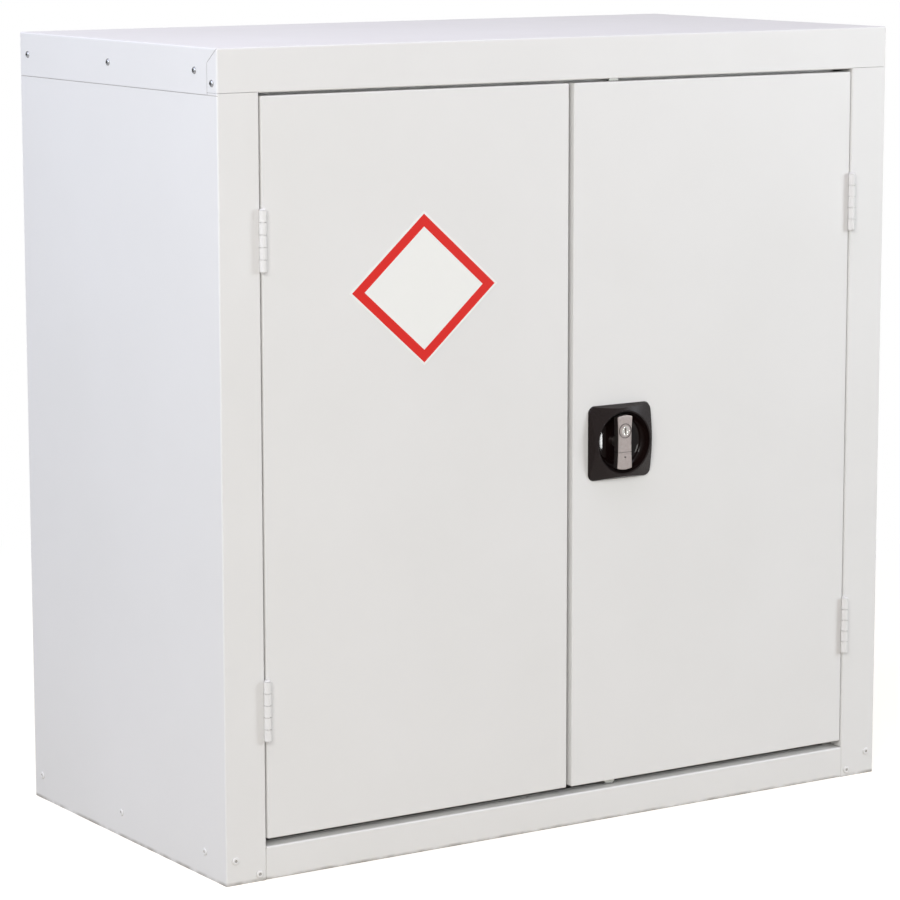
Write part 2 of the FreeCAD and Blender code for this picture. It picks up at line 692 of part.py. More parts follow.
def shelf_clips():
    """Bent clips: a hook behind the slot, a ledge through it and a leg down the upright's face."""
    clips = []
    hook_back = upright_face + s.sheet_gauge + s.sheet_slip
    for end, y in upright_places.items():
        middle = y + s.upright_width / 2
        span = (middle - s.clip_width / 2, middle + s.clip_width / 2)
        ledge = box(f"{end}_clip_ledge", (-hook_back - s.clip_gauge, -upright_face + s.clip_ledge), span,
                    (shelf_slot, clip_top))
        hook = box(f"{end}_clip_hook", (-hook_back - s.clip_gauge, -hook_back), span,
                   (shelf_slot, shelf_slot + s.clip_hook - s.sheet_slip))
        leg_face = -upright_face + s.sheet_slip
        leg = box(f"{end}_clip_leg", (leg_face, leg_face + s.clip_gauge), span,
                  (shelf_slot - s.clip_leg, clip_top))
        clip = fuse(f"{end}_clip", ledge, hook, leg)
        clips += [clip, mirrored(f"{end}_clip_right", clip)]
    return clips


finish("shelf_clips", several("clip_group", *shelf_clips()))

shelf_half = upright_face - s.shelf_side_gap
finish("shelf_tray", pan(
    "shelf", (-shelf_half, shelf_half), (front + s.shelf_front, back_inner - s.shelf_rear),
    (clip_top, clip_top + s.shelf_lip), "+Z", s.sheet_gauge, s.sheet_gauge + s.bend_radius))

buffer_reach = s.rebate_depth - s.door_pan - s.buffer_gap
buffer_z = (header_stop_foot + door_top) / 2
finish("door_buffers", several("buffer_group", *[
    rod(f"buffer_{i}", "Y", (half_opening * share, front + s.rebate_depth - buffer_reach, buffer_z),
        s.buffer_radius, buffer_reach)
    for i, share in enumerate((-0.85, -0.25, 0.25, 0.85))]))


# Hinges: five knuckles on a pin that stands in front of the doors
knuckle_spacing = s.hinge_length / 5


def hinge_leaf(name, side, height, on_door):
    """A leaf in the gap beside the door, with its own knuckles of the five."""
    axis_x = hinge_x * side
    foot = height - s.hinge_length / 2
    gap_half = s.hinge_gap / 2
    inwards = -side if on_door else side
    outer = axis_x + gap_half * inwards
    faces = sorted((outer, outer - s.leaf_gauge * inwards), key=lambda value: value.number)
    plate_front = hinge_y + s.knuckle_radius + s.knuckle_clear
    pieces = [box(name + "_plate", tuple(faces), (plate_front, front + s.leaf_depth),
                  (foot, foot + s.hinge_length))]
    for i in ((1, 3) if on_door else (0, 2, 4)):
        low = foot + knuckle_spacing * i + s.knuckle_gap
        length = knuckle_spacing - s.knuckle_gap * 2
        pieces.append(rod(f"{name}_knuckle_{i}", "Z", (axis_x, hinge_y, low), s.knuckle_radius, length))
        pieces.append(box(f"{name}_neck_{i}", tuple(faces), (hinge_y, plate_front + 1), (low, low + length)))
    bore = rod(name + "_bore", "Z", (axis_x, hinge_y, foot - 1), s.hinge_pin_radius + s.pin_slip,
               s.hinge_length + 2)
    return cut(name + "_leaf", fuse(name + "_joined", *pieces), bore)


def hinge_pin(name, side, height):
    axis = (hinge_x * side, hinge_y)
    foot = height - s.hinge_length / 2
    tip = s.knuckle_radius - 0.5
    return fuse(name, rod(name + "_shank", "Z", (*axis, foot), s.hinge_pin_radius, s.hinge_length),
                tapered_head(name + "_top", "+Z", (*axis, foot + s.hinge_length), tip, s.pin_tip),
                tapered_head(name + "_foot", "-Z", (*axis, foot), tip, s.pin_tip))


for side_name, side in (("left", -1), ("right", 1)):
    for level, height in hinge_heights.items():
        base = f"{side_name}_{level}_hinge"
        finish(base + "_frame_leaf", hinge_leaf(base + "_frame", side, height, on_door=False))
        finish(base + "_door_leaf", hinge_leaf(base + "_door", side, height, on_door=True))
        finish(base + "_pin", hinge_pin(base + "_pin_bar", side, height))


# Doors
def door_pan(name, side):
    """A door skin: face, four returns and the lips turned in behind them."""
    near, far = s.middle_gap / 2, half_opening - s.hinge_gap
    low, high = sorted((near * side, far * side), key=lambda value: value.number)
    back = front + s.door_pan
    shell = pan(name, (low, high), (front, back), (door_foot, door_top), "+Y", s.door_gauge,
                s.door_edge_radius)
    lip_y = (back - s.door_gauge, back)
    wall = s.door_gauge / 2
    frame = cut(name + "_lips",
                box(name + "_lip_blank", (low + wall, high - wall), lip_y,
                    (door_foot + wall, door_top - wall)),
                box(name + "_lip_window", (low + s.door_lip, high - s.door_lip), (back - 3, back + 1),
                    (door_foot + s.door_lip, door_top - s.door_lip)))
    reliefs = []
    for end, z in (("foot", (door_foot - 1, door_foot + s.door_gauge)),
                   ("top", (door_top - s.door_gauge, door_top + 1))):
        for edge, x in (("low", (low + s.door_gauge * 2, low + s.relief_width)),
                        ("high", (high - s.relief_width, high - s.door_gauge * 2))):
            reliefs.append(box(f"{name}_relief_{end}_{edge}", x, (front + s.door_gauge * 3, back + 1), z))
    return fuse(name + "_shell", shell, frame), reliefs


left_shell, left_reliefs = door_pan("left_door", -1)
finish("left_door_skin", cut("left_skin", left_shell, *left_reliefs))

skin_hole_radius = s.dish_wall_radius + s.dish_shell + s.skin_slip
right_shell, right_reliefs = door_pan("right_door", 1)
return_slots = [
    rod_opening(f"return_slot_{end}", lock_x - s.rod_slot_shift, s.rod_slot_length / 2, s.rod_slot_width / 2,
                (height - 2, height + 2))
    for end, height in (("top", door_top), ("foot", door_foot))]


def clamp_screw_places():
    return [(lock_x + clamp_half * a, lock_z + clamp_half * b) for a in (-1, 1) for b in (-1, 1)]


def clamp_holes(name, start, length):
    return [rod(f"{name}_{i}", "Y", (x, start, z), s.clamp_screw_radius + s.rivet_hole_slip, length)
            for i, (x, z) in enumerate(clamp_screw_places())]


lock_hole = rod("skin_lock_hole", "Y", (lock_x, front - 1, lock_z), skin_hole_radius, s.door_gauge + 2)
finish("right_door_skin", cut("right_skin", right_shell, lock_hole, *right_reliefs, *return_slots,
                              *clamp_holes("skin_screw_hole", front - 1, s.door_gauge + 2)))


def door_stiffener(name, side):
    """A top-hat channel down the inside of the skin."""
    foot, crown = s.stiffener_foot, s.stiffener_width
    deep = s.stiffener_depth
    path = [
        (0, 0), (foot, 0), (foot, deep), (foot + crown, deep), (foot + crown, 0), (foot * 2 + crown, 0),
    ]
    hat = folded(name, "XY_Plane", path, door_height - s.stiffener_short * 2, s.door_gauge, s.bend_radius)
    middle = (s.middle_gap / 2 + door_width * 0.62) * side
    return place(hat, middle - foot - crown / 2, front + s.door_gauge, door_foot + s.stiffener_short)


finish("left_door_stiffener", door_stiffener("left_hat", -1))
finish("right_door_stiffener", door_stiffener("right_hat", 1))

strip_x = (-s.middle_gap / 2 - s.strip_overlap, -s.middle_gap / 2 + s.strip_reach)
finish("closing_strip", box(
    "strip", strip_x, (front + s.door_pan, front + s.door_pan + s.strip_gauge),
    (door_foot + s.door_lip / 2, header_stop_foot - s.seam_gap)))


# Lock furniture
def escutcheon():
    """A square moulding with a drafted edge, a cone-shaped crown and a round dish."""
    half = s.plate_side / 2
    block = doc.addObject("Part::Wedge", "plate_block")
    for prop, value in (
            ("Xmin", -half + s.plate_draft), ("Xmax", half - s.plate_draft),
            ("Zmin", -half + s.plate_draft), ("Zmax", half - s.plate_draft), ("Ymin", 0),
            ("X2min", -half), ("X2max", half), ("Z2min", -half), ("Z2max", half), ("Ymax", s.plate_rise)):
        block.setExpression(prop, size(value).text)
    place(block, lock_x, front - s.plate_rise, lock_z)
    soft_block = rounded("plate_soft_block", block, s.plate_corner, lambda edge: (
        len(edge.Vertexes) == 2 and abs(edge.Vertexes[0].Y - edge.Vertexes[1].Y) > s.plate_rise.number / 2))
    crown = doc.addObject("Part::Cone", "crown")
    turn(crown, (1, 0, 0), 90)
    place(crown, lock_x, front, lock_z)
    for prop, value in (("Radius1", s.crown_slope_radius), ("Radius2", s.rim_radius),
                        ("Height", s.plate_rise)):
        crown.setExpression(prop, size(value).text)
    centre_back = (lock_x, front, lock_z)
    bowl = rod("bowl", "Y", (lock_x, front - 1, lock_z), s.dish_wall_radius + s.dish_shell,
               s.dish_floor + s.dish_shell + 1)
    boss = rod("spindle_boss", "Y", centre_back, s.boss_radius, s.boss_reach)
    moulding = fuse("moulding", common("crowned_plate", soft_block, crown), bowl, boss)

    dish = doc.addObject("PartDesign::Body", "dish_hollow")
    profile = [
        (0, s.plate_rise + 1), (s.dish_radius, s.plate_rise + 1), (s.dish_radius, s.plate_rise - 1),
        (s.dish_foot_radius, 0), (s.dish_floor_radius, -s.dish_floor), (0, -s.dish_floor),
    ]
    bows = {2: -s.dish_bow, 3: -s.dish_blend_bow}
    sketch = outline(dish, "dish_profile", "XY_Plane", profile, bulges=bows)
    spin = dish.newObject("PartDesign::Revolution", "dish_spin")
    spin.Profile = sketch
    spin.ReferenceAxis = (sketch, ["V_Axis"])
    spin.Angle = 360
    turn(dish, (0, 0, 1), 180)
    place(dish, lock_x, front, lock_z)
    bore = rod("spindle_bore", "Y", (lock_x, front - s.plate_rise, lock_z), s.spindle_radius + s.shaft_slip,
               s.plate_rise + s.boss_reach + 1)
    return cut("escutcheon", moulding, dish, bore,
               *clamp_holes("escutcheon_screw_hole", front - s.clamp_screw_bite, s.clamp_screw_bite + 1))


finish("lock_escutcheon", escutcheon())

clamp_y = front + s.door_gauge
finish("lock_clamp_plate", cut(
    "clamp_drilled",
    box("clamp_blank", (lock_x - s.clamp_side / 2, lock_x + s.clamp_side / 2),
        (clamp_y, clamp_y + s.clamp_gauge), (lock_z - s.clamp_side / 2, lock_z + s.clamp_side / 2)),
    rod("clamp_bowl_hole", "Y", (lock_x, clamp_y - 1, lock_z), skin_hole_radius, s.clamp_gauge + 2),
    *clamp_holes("clamp_screw_hole", clamp_y - 1, s.clamp_gauge + 2)))


def clamp_screws():
    items = []
    head_y = clamp_y + s.clamp_gauge
    for i, (x, z) in enumerate(clamp_screw_places()):
        shank_start = front - s.clamp_screw_bite
        items.append(fuse(f"clamp_screw_{i}",
                          tapered_head(f"clamp_screw_head_{i}", "+Y", (x, head_y, z),
                                       s.clamp_screw_head, s.clamp_screw_high),
                          rod(f"clamp_screw_shank_{i}", "Y", (x, shank_start, z), s.clamp_screw_radius,
                              head_y - shank_start)))
    return items


finish("lock_clamp_screws", several("clamp_screw_group", *clamp_screws()))


def lever():
    """A waisted bar with bowed ends, a hub behind it, and a ring, a seam and a dimple in its face."""
    half, bow = s.lever_length / 2 - s.lever_end_bulge, s.lever_end_bulge
    wide, waist = s.lever_width / 2, (s.lever_width - s.lever_waist) / 2
    corners = [(wide, -half), (wide, half), (-wide, half), (-wide, -half)]
    body = plate("lever_bar", "XZ_Plane", corners, s.lever_thick,
                 bulges={0: -waist, 1: bow, 2: -waist, 3: bow})
    doc.recompute()
    pad = body.Tip
    edges = [f"Edge{i}" for i, edge in enumerate(pad.Shape.Edges, start=1)
             if all(abs(vertex.Y + s.lever_thick.number) < 0.01 for vertex in edge.Vertexes)]
    soft = body.newObject("PartDesign::Fillet", "lever_soft_edge")
    soft.Base = (pad, edges)
    soft.setExpression("Radius", s.lever_edge.text)
    back = front - s.lever_front + s.lever_thick
    place(body, lock_x, back, lock_z)
    hub_back = front + s.dish_floor - s.hub_slip
    hub = rod("lever_hub", "Y", (lock_x, back - 1, lock_z), s.hub_radius, hub_back - back + 1)
    seat = rod("spindle_seat_bore", "Y", (lock_x, front - s.spindle_seat, lock_z),
               s.spindle_radius + s.rivet_hole_slip, s.spindle_seat + s.dish_floor + 1)
    face = front - s.lever_front
    barrel_z = lock_z + s.barrel_rise
    key_bore = rod("barrel_bore", "Y", (lock_x, face - 1, barrel_z), s.barrel_radius + s.shaft_slip,
                   s.lever_front + s.dish_floor)
    into = s.groove_depth + 1
    ring = cut("lever_ring", rod("ring_outside", "Y", (lock_x, face - 1, barrel_z), s.ring_radius, into),
               rod("ring_inside", "Y", (lock_x, face - 2, barrel_z), s.ring_radius - s.ring_width, into + 2))
    seam_z = lock_z - s.seam_drop
    seam = box("lever_seam", (lock_x - s.lever_width, lock_x + s.lever_width),
               (face - 1, face + s.groove_depth), (seam_z - s.seam_width / 2, seam_z + s.seam_width / 2))
    dimple = rod("lever_dimple", "Y", (lock_x, face - 1, lock_z - s.dimple_drop), s.dimple_radius, into)
    return cut("lever_cut", fuse("lever_joined", body, hub), seat, key_bore, ring, seam, dimple)


finish("lock_lever", lever())


def spindle():
    """A round shaft with a square end for the cam, drilled for the cam screw."""
    square_start = cam_front - s.cam_gap / 2
    seat = front - s.spindle_seat
    shaft = rod("spindle_round", "Y", (lock_x, seat, lock_z), s.spindle_radius, square_start - seat)
    half = s.square_side / 2
    square = box("spindle_square", (lock_x - half, lock_x + half), (square_start - 1, cam_back),
                 (lock_z - half, lock_z + half))
    bore = rod("spindle_tap", "Y", (lock_x, cam_back - s.cam_screw_reach, lock_z),
               s.cam_screw_shank + s.rivet_hole_slip, s.cam_screw_reach + 1)
    return cut("spindle", fuse("spindle_joined", shaft, square), bore)


finish("lock_spindle", spindle())


def cam():
    """A bar with round ends, a square hole and two pins, at 45 degrees when the rods are in."""
    width, reach = s.cam_width / 2, s.cam_radius
    bar = plate("cam_bar", "XZ_Plane", [(reach, -width), (reach, width), (-reach, width), (-reach, -width)],
                s.cam_gauge, backwards=True)
    turn(bar, (0, 1, 0), 45)
    place(bar, lock_x, cam_front, lock_z)
    pin_length = s.cam_gauge + s.rod_gap + s.rod_gauge + s.cam_pin_over
    pieces = [bar]
    for i, side in enumerate((-1, 1)):
        centre = (lock_x + pin_offset * side, cam_front, lock_z - pin_offset * side)
        pieces.append(rod(f"cam_end_{i}", "Y", centre, width, s.cam_gauge))
        pieces.append(rod(f"cam_pin_{i}", "Y", centre, s.cam_pin_radius, pin_length))
    half = s.square_side / 2 + s.rivet_hole_slip
    hole = box("cam_square", (lock_x - half, lock_x + half), (cam_front - 1, cam_back + 1),
               (lock_z - half, lock_z + half))
    return cut("cam", fuse("cam_joined", *pieces), hole)


finish("lock_cam", cam())

finish("cam_screw", fuse(
    "cam_screw_joined",
    rod("cam_screw_head_disc", "Y", (lock_x, cam_back, lock_z), s.cam_screw_radius, s.cam_screw_head),
    rod("cam_screw_bar", "Y", (lock_x, cam_back - s.cam_screw_reach, lock_z), s.cam_screw_shank,
        s.cam_screw_reach)))


def key_barrel():
    """A plug with a keyway in its face and a tail behind the lever."""
    z = lock_z + s.barrel_rise
    face = front - s.lever_front - s.barrel_proud
    back = front - s.lever_front + s.lever_thick + s.barrel_tail - s.tail_thick
    plug = rod("barrel_plug", "Y", (lock_x, face, z), s.barrel_radius, back - face)
    half = s.tail_width / 2
    tail = box("barrel_tail_bar", (lock_x - half, lock_x + half), (back - 0.5, back + s.tail_thick),
               (z - half, z + s.tail_reach))
    keyway = box("barrel_keyway", (lock_x - s.keyway_width / 2, lock_x + s.keyway_width / 2),
                 (face - 1, face + s.keyway_depth), (z - s.keyway_height / 2, z + s.keyway_height / 2))
    return cut("barrel", fuse("barrel_joined", plug, tail), keyway)


finish("key_barrel", key_barrel())


def lock_rod(name, up, far_end):
    """A flat rod: an eye beside the cam, a crank to the lock's middle line and a chamfered tip.
    up is 1 for the upper rod, on the right of the cam, and -1 for the lower one, on its left."""
    inner, outer = s.rod_eye_inset, s.rod_eye_inset + s.rod_eye_width
    half = s.rod_width / 2
    tip = (size(far_end) - lock_z) * up
    chamfer = s.rod_tip_chamfer
    points = [
        (inner, -pin_offset - s.rod_eye_end), (outer, -pin_offset - s.rod_eye_end), (outer, s.rod_jog_start),
        (half, s.rod_jog_end), (half, tip - chamfer), (half - chamfer, tip), (-half + chamfer, tip),
        (-half, tip - chamfer), (-half, s.rod_jog_end), (inner, s.rod_jog_start),
    ]
    body = plate(name, "XZ_Plane", points, s.rod_gauge, backwards=True)
    doc.recompute()
    middle = (s.cam_radius + pin_offset) / 2
    slot_half = (s.cam_radius - pin_offset) / 2 + s.cam_pin_radius + s.yoke_clear
    slot_high = s.cam_pin_radius + s.yoke_clear
    eye = body.newObject("PartDesign::Pocket", name + "_eye")
    eye.Profile = outline(body, name + "_eye_outline", "XZ_Plane", [
        (middle - slot_half, -pin_offset - slot_high), (middle + slot_half, -pin_offset - slot_high),
        (middle + slot_half, -pin_offset + slot_high), (middle - slot_half, -pin_offset + slot_high)])
    eye.Type = "ThroughAll"
    eye.Midplane = True
    if up < 0:
        turn(body, (0, 1, 0), 180)
    return place(body, lock_x, rod_front, lock_z)


finish("upper_lock_rod", lock_rod("upper_rod", 1, top_rod_end))
finish("lower_lock_rod", lock_rod("lower_rod", -1, bottom_rod_end))


def rod_guide(name, height):
    """A saddle over the rod with its two feet on the skin."""
    room = s.rod_width / 2 + s.guide_clear
    deep = s.boss_reach + s.cam_gap + s.cam_gauge + s.rod_gap + s.rod_gauge + s.guide_clear - s.door_gauge
    g = s.guide_gauge
    path = [
        (-room - g - s.guide_foot, 0), (-room - g, 0), (-room - g, deep + g), (room + g, deep + g),
        (room + g, 0), (room + g + s.guide_foot, 0),
    ]
    saddle = folded(name, "XY_Plane", path, s.guide_length, g, s.bend_radius)
    return place(saddle, lock_x, front + s.door_gauge, height)


finish("rod_guides", several("guide_group", rod_guide("top_guide", s.guide_top_height),
                             rod_guide("low_guide", s.guide_low_height)))

# Check, then write
doc.recompute()
faults = [item.Name for item in doc.Objects if {"Invalid", "Error"} & set(item.State)]
if faults:
    raise RuntimeError(f"failed objects: {faults}")
os.makedirs("parts", exist_ok=True)
for item in parts:
    shape = item.Shape
    if shape.isNull() or not shape.isValid() or not shape.Solids:
        raise RuntimeError(f"{item.Label} has no sound solid")
    shape.exportStep(f"parts/{item.Label}.step")
print(len(parts), "pieces")
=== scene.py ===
"""Studio view of a free-standing two-door steel cupboard for bottles of acid.

Every class below dresses or builds one sub-assembly. Lengths in the dataclass fields are millimetres
in the object's own frame: +X to the right as one faces the doors, +Y from the doors to the back and
+Z up.
"""

import logging
import math
from dataclasses import dataclass, field
from enum import Enum
from typing import Any, Iterable, Sequence

import bpy
import numpy as np
from mathutils import Matrix, Vector


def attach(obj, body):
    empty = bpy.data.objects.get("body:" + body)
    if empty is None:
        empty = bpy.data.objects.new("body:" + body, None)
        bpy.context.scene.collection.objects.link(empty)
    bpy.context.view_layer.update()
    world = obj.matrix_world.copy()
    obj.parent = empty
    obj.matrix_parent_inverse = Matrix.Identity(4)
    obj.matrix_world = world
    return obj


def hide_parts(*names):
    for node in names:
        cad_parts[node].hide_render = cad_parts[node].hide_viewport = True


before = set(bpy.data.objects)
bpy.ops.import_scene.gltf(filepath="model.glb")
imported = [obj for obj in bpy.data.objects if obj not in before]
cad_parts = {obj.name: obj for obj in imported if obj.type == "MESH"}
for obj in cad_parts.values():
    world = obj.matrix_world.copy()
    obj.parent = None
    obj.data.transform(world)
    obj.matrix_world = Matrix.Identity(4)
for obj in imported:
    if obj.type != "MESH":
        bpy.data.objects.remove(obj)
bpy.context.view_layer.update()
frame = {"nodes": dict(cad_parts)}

MM = 0.001
LOG = logging.getLogger("cupboard")

# Numbers of the sockets on a Mix node, whose names aren't unique
SHARE, COLOUR_A, COLOUR_B, MIXED_COLOUR = 0, 6, 7, 2
NUMBER_A, NUMBER_B = 2, 3
POLYMER_IOR = 1.5
# Points that agree to this many digits of a millimetre become one
WELD_DIGITS = 5


class Axis(Enum):
    """The way a turned piece points, with the two directions across it."""

    LEFT = ((-1, 0, 0), (0, 1, 0), (0, 0, 1))
    RIGHT = ((1, 0, 0), (0, 1, 0), (0, 0, 1))
    FRONT = ((0, -1, 0), (1, 0, 0), (0, 0, 1))
    BACK = ((0, 1, 0), (1, 0, 0), (0, 0, 1))
    UP = ((0, 0, 1), (1, 0, 0), (0, 1, 0))


def srgb(code: str) -> tuple[float, float, float, float]:
    """Turns an sRGB hex value to a linear colour.

    Args:
        code: six hex digits, such as "e4e2df".

    Returns:
        Linear red, green and blue, and an alpha of 1.
    """
    raw = [int(code[i:i + 2], 16) / 255 for i in (0, 2, 4)]
    line = [c / 12.92 if c <= 0.04045 else ((c + 0.055) / 1.055) ** 2.4 for c in raw]
    return (line[0], line[1], line[2], 1.0)


def add(tree: bpy.types.NodeTree, kind: str, values: dict[Any, Any] | None = None,
        links: dict[Any, bpy.types.NodeSocket] | None = None, **settings: Any) -> bpy.types.Node:
    """Adds a node with its settings, its sockets' values and its links.

    Args:
        tree: the tree that takes the node.
        kind: the node's type name.
        values: socket name or number to value.
        links: socket name or number to the output that feeds it.
        **settings: the node's own properties.

    Returns:
        The new node.
    """
    node = tree.nodes.new(kind)
    for key, value in settings.items():
        setattr(node, key, value)
    for key, value in (values or {}).items():
        node.inputs[key].default_value = value
    for key, source in (links or {}).items():
        tree.links.new(source, node.inputs[key])
    return node


# Finishes
@dataclass(frozen=True)
class Finish:
    """A surface finish, made once and shared by every piece that has it."""

    name: str

    def shade(self, tree: bpy.types.NodeTree, place: bpy.types.NodeSocket) -> bpy.types.Node:
        """Adds the shader nodes and returns the one that carries the surface.

        Args:
            tree: the material's tree.
            place: the object's own coordinates.

        Returns:
            The shader that carries the surface.
        """
        raise NotImplementedError

    def material(self) -> bpy.types.Material:
        """Gives the finish's material, and builds it the first time.

        Returns:
            The one material that all pieces with this finish share.
        """
        made = bpy.data.materials.get(self.name)
        if made is None:
            made = bpy.data.materials.new(self.name)
            made.use_nodes = True
            tree = made.node_tree
            tree.nodes.clear()
            place = add(tree, "ShaderNodeTexCoord").outputs["Object"]
            shader = self.shade(tree, place)
            add(tree, "ShaderNodeOutputMaterial", links={"Surface": shader.outputs[0]})
        return made


@dataclass(frozen=True)
class PowderCoat(Finish):
    """Polyester powder baked on steel sheet: a soft satin skin with a fine orange peel.

    The real peel has waves of about 1.5 mm. They are drawn 3 mm apart, because finer ones are lost
    between the picture's points. Broad clouds of tone stand for the coat's uneven thickness.
    """

    light: str = "e9e8e7"
    dark: str = "e3e2e0"
    # Colour of the smudges by the floor, and of the painted shade at fasteners and seams
    grime_and_painted_shade: str = "8b847b"
    peel_mm: float = 3.0
    cloud_mm: float = 170.0
    smear_mm: float = 45.0
    smudge_mm: float = 33.0
    roughness: float = 0.42
    gloss_drift: float = 0.06
    specular: float = 0.36
    relief_mm: float = 0.02
    relief_strength: float = 0.35
    floor_band_mm: float = 4.5
    floor_share: float = 1.0
    smudge_from: float = 0.35
    smudge_full: float = 0.6

    def shade(self, tree: bpy.types.NodeTree, place: bpy.types.NodeSocket) -> bpy.types.Node:
        """Clouds of tone, smudges by the floor, painted shade at the fasteners, and the peel as
        relief.

        Args:
            tree: the material's tree.
            place: the object's own coordinates.

        Returns:
            The shader of the coat.
        """
        cloud = add(tree, "ShaderNodeTexNoise", {"Scale": 1 / (self.cloud_mm * MM), "Detail": 3.0},
                    {"Vector": place})
        clean = add(tree, "ShaderNodeMix", {COLOUR_A: srgb(self.dark), COLOUR_B: srgb(self.light)},
                    {SHARE: cloud.outputs["Fac"]}, data_type="RGBA")
        # Darkened by smudges near the floor and by painted shade at fasteners and seams
        dirt_and_painted_shade = self.dirt_and_painted_shade(tree, place)
        tone = add(tree, "ShaderNodeMix", {COLOUR_B: srgb(self.grime_and_painted_shade)},
                   {SHARE: dirt_and_painted_shade.outputs[0], COLOUR_A: clean.outputs[MIXED_COLOUR]},
                   data_type="RGBA")
        smear = add(tree, "ShaderNodeTexNoise", {"Scale": 1 / (self.smear_mm * MM), "Detail": 4.0},
                    {"Vector": place})
        gloss = add(tree, "ShaderNodeMapRange", {"To Min": self.roughness - self.gloss_drift,
                                                 "To Max": self.roughness + self.gloss_drift},
                    {"Value": smear.outputs["Fac"]})
        peel = add(tree, "ShaderNodeTexNoise", {"Scale": 1 / (self.peel_mm * MM), "Detail": 1.0},
                   {"Vector": place})
        relief = add(tree, "ShaderNodeBump", {"Strength": self.relief_strength,
                                                "Distance": self.relief_mm * MM},
                     {"Height": peel.outputs["Fac"]})
        return add(tree, "ShaderNodeBsdfPrincipled",
                   {"IOR": POLYMER_IOR, "Specular IOR Level": self.specular},
                   {"Base Color": tone.outputs[MIXED_COLOUR], "Roughness": gloss.outputs[0],
                    "Normal": relief.outputs[0]})

    def dirt_and_painted_shade(self, tree: bpy.types.NodeTree, place: bpy.types.NodeSocket) -> bpy.types.Node:
        """Share of darkening: smudges in a thin band by the floor, or the piece's own painted shade,
        if more.

        Args:
            tree: the material's tree.
            place: the object's own coordinates.

        Returns:
            The node whose first output is the share of grime.
        """
        low = add(tree, "ShaderNodeSeparateXYZ", links={0: place})
        near = add(tree, "ShaderNodeMapRange", {"From Min": self.floor_band_mm * MM, "From Max": 0.0,
                                                "To Max": self.floor_share},
                   {"Value": low.outputs["Z"]})
        smudge = add(tree, "ShaderNodeTexNoise", {"Scale": 1 / (self.smudge_mm * MM), "Detail": 8.0},
                     {"Vector": place})
        patchy = add(tree, "ShaderNodeMapRange", {"From Min": self.smudge_from,
                                                  "From Max": self.smudge_full},
                     {"Value": smudge.outputs["Fac"]})
        floor = add(tree, "ShaderNodeMath", links={0: near.outputs[0], 1: patchy.outputs[0]},
                    operation="MULTIPLY")
        # The piece's own painted shade, stored on its points
        own = add(tree, "ShaderNodeAttribute", attribute_name="grime_and_painted_shade")
        return add(tree, "ShaderNodeMath", links={0: floor.outputs[0], 1: own.outputs["Fac"]},
                   operation="MAXIMUM")


@dataclass(frozen=True)
class SeamShadowCoat(PowderCoat):
    """The same coat on the cap and the side panels, with painted shadow lines along their seams.

    The seams are 0.4 mm wide. The painted shadow lines are 0.9 mm wide, so that they show as the real
    ones do.
    """

    side_x: float = 449.0
    front_y: float = -230.0
    height: float = 900.0
    skirt_foot: float = 850.7
    tab: float = 21.2
    bevel: float = 16.0
    # Width and strength of the painted shadow lines
    line_mm: float = 0.9
    line_share: float = 0.55

    def dirt_and_painted_shade(self, tree: bpy.types.NodeTree, place: bpy.types.NodeSocket) -> bpy.types.Node:
        """Share of darkening: the larger of the coat's own and the painted shadow lines at the
        skirt's foot, the tab's rear and its bevel.

        The bevel is the line where the depth behind the front times the bevel over the tab's width,
        less the drop from the top, is 0. Each line is kept to the stretch where its seam runs: its
        share is the product of the tests, each 1 where it holds and 0 elsewhere.

        Args:
            tree: the material's tree.
            place: the object's own coordinates.

        Returns:
            The node whose first output is the share of grime.
        """
        axes = add(tree, "ShaderNodeSeparateXYZ", links={0: place})
        deep, high = axes.outputs["Y"], axes.outputs["Z"]
        slope = self.bevel / self.tab
        rise = add(tree, "ShaderNodeMath", {1: slope, 2: (-self.front_y * slope - self.height) * MM},
                   {0: deep}, operation="MULTIPLY_ADD")
        slant = add(tree, "ShaderNodeMath", links={0: rise.outputs[0], 1: high}).outputs[0]
        away = add(tree, "ShaderNodeMath", links={0: axes.outputs["X"]}, operation="ABSOLUTE")
        outside = add(tree, "ShaderNodeMath", {1: self.side_x * MM}, {0: away.outputs[0]},
                      operation="GREATER_THAN")
        painted = add(tree, "ShaderNodeMath", {1: self.line_share}, {0: outside.outputs[0]},
                      operation="MULTIPLY")
        half = self.line_mm / 2
        rear = self.front_y + self.tab
        # Painted shadow lines along the skirt's foot, the tab's rear and the tab's bevel
        seams = (
            ((high, "COMPARE", self.skirt_foot - half),),
            ((deep, "COMPARE", rear), (high, "GREATER_THAN", self.skirt_foot),
             (high, "LESS_THAN", self.height - self.bevel)),
            ((slant, "COMPARE", 0.0), (deep, "LESS_THAN", rear)),
        )
        most = super().dirt_and_painted_shade(tree, place)
        for tests in seams:
            share = painted
            for source, how, limit in tests:
                held = add(tree, "ShaderNodeMath", {1: limit * MM, 2: half * MM}, {0: source},
                           operation=how)
                share = add(tree, "ShaderNodeMath", links={0: share.outputs[0], 1: held.outputs[0]},
                            operation="MULTIPLY")
            most = add(tree, "ShaderNodeMath", links={0: most.outputs[0], 1: share.outputs[0]},
                       operation="MAXIMUM")
        return most


